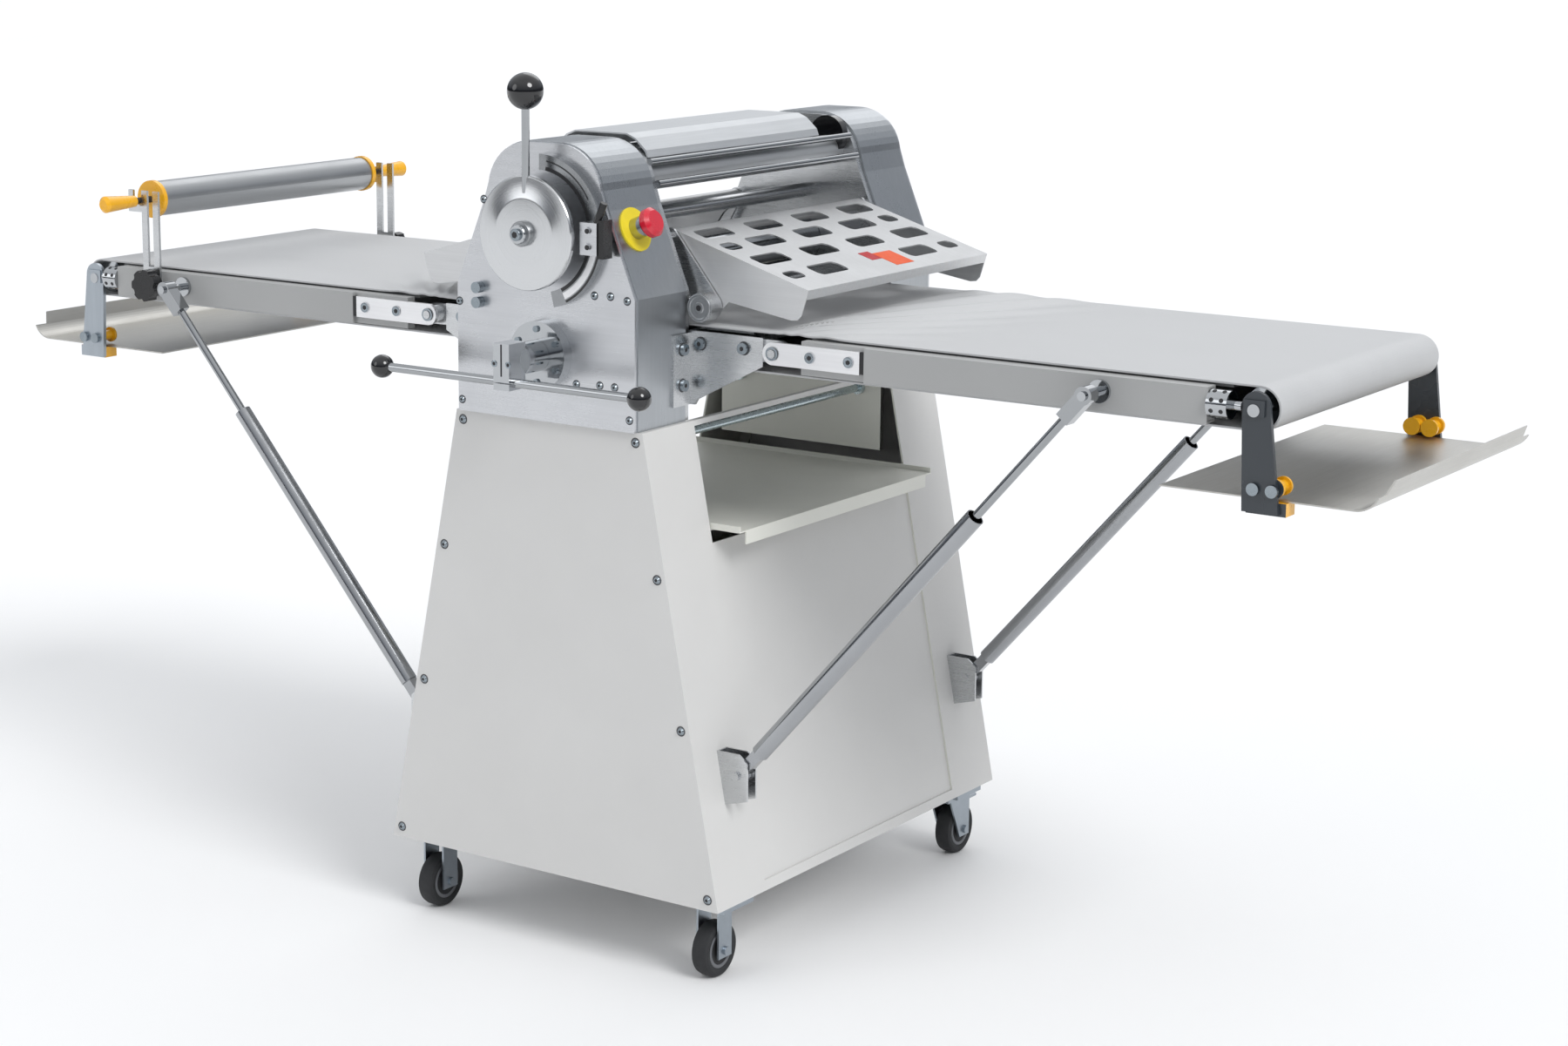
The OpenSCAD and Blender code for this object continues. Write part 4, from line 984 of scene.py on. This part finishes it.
class SHEETER_OT_guard_details(bpy.types.Operator):
    """Adds the plain colour label on the right guard and the faces of the rest discs."""

    bl_idname = "sheeter.guard_details"
    bl_label = "Guard Details"

    def execute(self, context):
        look = context.scene.sheeter_look
        for name, s0, s1, y0, y1, key in (
            ("guard_label_orange", 0.168, 0.212, 0.0185, 0.066, "orange"),
            ("guard_label_red", 0.160, 0.186, -0.008, 0.018, "scarlet"),
        ):
            bm = bmesh.new()
            corners = ((s0, y0), (s1, y0), (s1, y1), (s0, y1))
            plate(bm, [guard_point(1, s, y, GUARD_TOP) for s, y in corners],
                  guard_point(1, 0, 0, 0.0003) - guard_point(1, 0, 0, 0))
            label = from_bmesh(name, bm, smooth=False)
            give(label, finish_of(key, look))
            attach(label, "guard_right")
        rim = [(0, 0.0185), (0.0012, 0.0188), (0.002, 0.018), (0.0022, 0.0155), (0.0014, 0.0145),
               (0.0014, 0.008), (0.0022, 0.007), (0.0024, 0.0)]
        along, across, above = REST_DISC
        for side, sign in (("right", 1), ("left", -1)):
            for end, way in (("front", -1), ("rear", 1)):
                spot = guard_point(sign, along, way * across, above)
                disc_stack("rest_disc_%s_%s" % (side, end), spot, (0, way, 0), rim,
                           finish_of("flank", look), "guard_shaft_" + side)
                disc_stack("rest_bolt_%s_%s" % (side, end), spot + Vector((0, way * 0.0023, 0)),
                           (0, way, 0), [(0, 0.0042), (0.0006, 0.004)],
                           finish_of("dark", look), "guard_shaft_" + side, 24)
        return {"FINISHED"}


class SHEETER_OT_link_details(bpy.types.Operator):
    """Adds the pivot ring and the countersunk screws of every link bar, with dark hex plugs of painted
    shade in the screws' sockets and a dark plate of painted shadow in the gap at the bar's end.
    """

    bl_idname = "sheeter.link_details"
    bl_label = "Link Details"

    def execute(self, context):
        look = context.scene.sheeter_look
        for side, sign in (("right", 1), ("left", -1)):
            cups, sockets, end_gap_shadows = bmesh.new(), bmesh.new(), bmesh.new()
            for way in (-1, 1):
                face = way * LINK_FACE
                out = (0, way, 0)
                for x in LINK_SCREWS_X:
                    spot = (sign * x, face - way * 0.0002, PIVOT_Z)
                    turned(cups, spot, out,
                           [(0, 0.0075), (0.0005, 0.0075), (0.0006, 0.0062), (0.0003, 0.0058)], 28)
                    # Dark hex plug: painted shade in the screw's socket.
                    hexagon(sockets, (sign * x, face, PIVOT_Z), out, 0.0034, 0.0007)
                inner, outer = 0.0066, 0.0095
                rings = []
                for i in range(37):
                    a = 2 * math.pi * i / 36
                    rings.append([Vector((sign * PIVOT_X + r * math.cos(a), face + way * lift,
                                          PIVOT_Z + r * math.sin(a)))
                                  for r, lift in ((inner, -0.0002), (inner, 0.0006),
                                                  (outer, 0.0006), (outer, -0.0002))])
                loft(cups, rings, cap=False)
                # A dark plate in the gap at the end of the link bar: painted shadow.
                x0, x1 = sorted((sign * 0.4405, sign * 0.4468))
                rail = way * 0.2728
                corners = [(x0, rail, 0.868), (x1, rail, 0.868), (x1, rail, 0.8975),
                           (x0, rail, 0.8975)]
                plate(end_gap_shadows, corners, (0, way * 0.0056, 0))
            for name, bm, key in (("link_cups_", cups, "bolt"), ("link_sockets_", sockets, "dark"),
                                  ("link_end_shadow_", end_gap_shadows, "dark")):
                bmesh.ops.remove_doubles(bm, verts=bm.verts, dist=1e-7)
                piece = from_bmesh(name + side, bm, smooth=False)
                give(piece, finish_of(key, look))
                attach(piece, "wing_" + side)
        return {"FINISHED"}


class SHEETER_OT_nut_holes(bpy.types.Operator):
    """Adds the tommy-bar holes round the four tension nuts as thin dark discs of painted shade."""

    bl_idname = "sheeter.nut_holes"
    bl_label = "Nut Holes"

    def execute(self, context):
        look = context.scene.sheeter_look
        for side, sign in (("right", 1), ("left", -1)):
            bm = bmesh.new()
            for way in (-1, 1):
                for x in NUT_HOLES_X:
                    for i in range(8):
                        a = math.radians(22.5 + 45 * i)
                        out = Vector((0, math.cos(a), math.sin(a)))
                        centre = Vector((sign * x, way * NUT_Y, PIVOT_Z - 0.0005))
                        turned(bm, centre + out * NUT_RADIUS, out, [(0, 0.0029), (0.0006, 0.0029)], 16)
            # Dark discs: painted shade in the holes.
            holes = from_bmesh("nut_holes_" + side, bm, smooth=False)
            give(holes, finish_of("dark", look))
            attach(holes, "wing_" + side)
        return {"FINISHED"}


class SHEETER_PT_panel(bpy.types.Panel):
    """Sidebar panel with the sizes, the colours and each piece's operator."""

    bl_label = "Dough Sheeter"
    bl_idname = "SHEETER_PT_panel"
    bl_space_type = "VIEW_3D"
    bl_region_type = "UI"
    bl_category = "Sheeter"

    def draw(self, context):
        for group in (context.scene.sheeter_sizes, context.scene.sheeter_look):
            box = self.layout.box()
            for name in group.__annotations__:
                box.prop(group, name)
        for operator in OPERATORS:
            self.layout.operator(operator.bl_idname)


OPERATORS = (SHEETER_OT_stage, SHEETER_OT_screw_sockets, SHEETER_OT_finishes, SHEETER_OT_belts,
             SHEETER_OT_wheels, SHEETER_OT_lever_disc, SHEETER_OT_scale_arc,
             SHEETER_OT_guard_details, SHEETER_OT_clamp_details, SHEETER_OT_link_details,
             SHEETER_OT_nut_holes)
CLASSES = (SheeterSizes, SheeterLook, *OPERATORS, SHEETER_PT_panel)


def register():
    for cls in CLASSES:
        bpy.utils.register_class(cls)
    bpy.types.Scene.sheeter_sizes = bpy.props.PointerProperty(type=SheeterSizes)
    bpy.types.Scene.sheeter_look = bpy.props.PointerProperty(type=SheeterLook)


def unregister():
    del bpy.types.Scene.sheeter_look
    del bpy.types.Scene.sheeter_sizes
    for cls in reversed(CLASSES):
        bpy.utils.unregister_class(cls)


def main():
    register()
    for operator in OPERATORS:
        family, name = operator.bl_idname.split(".")
        getattr(getattr(bpy.ops, family), name)()


if __name__ == "__main__":
    main()
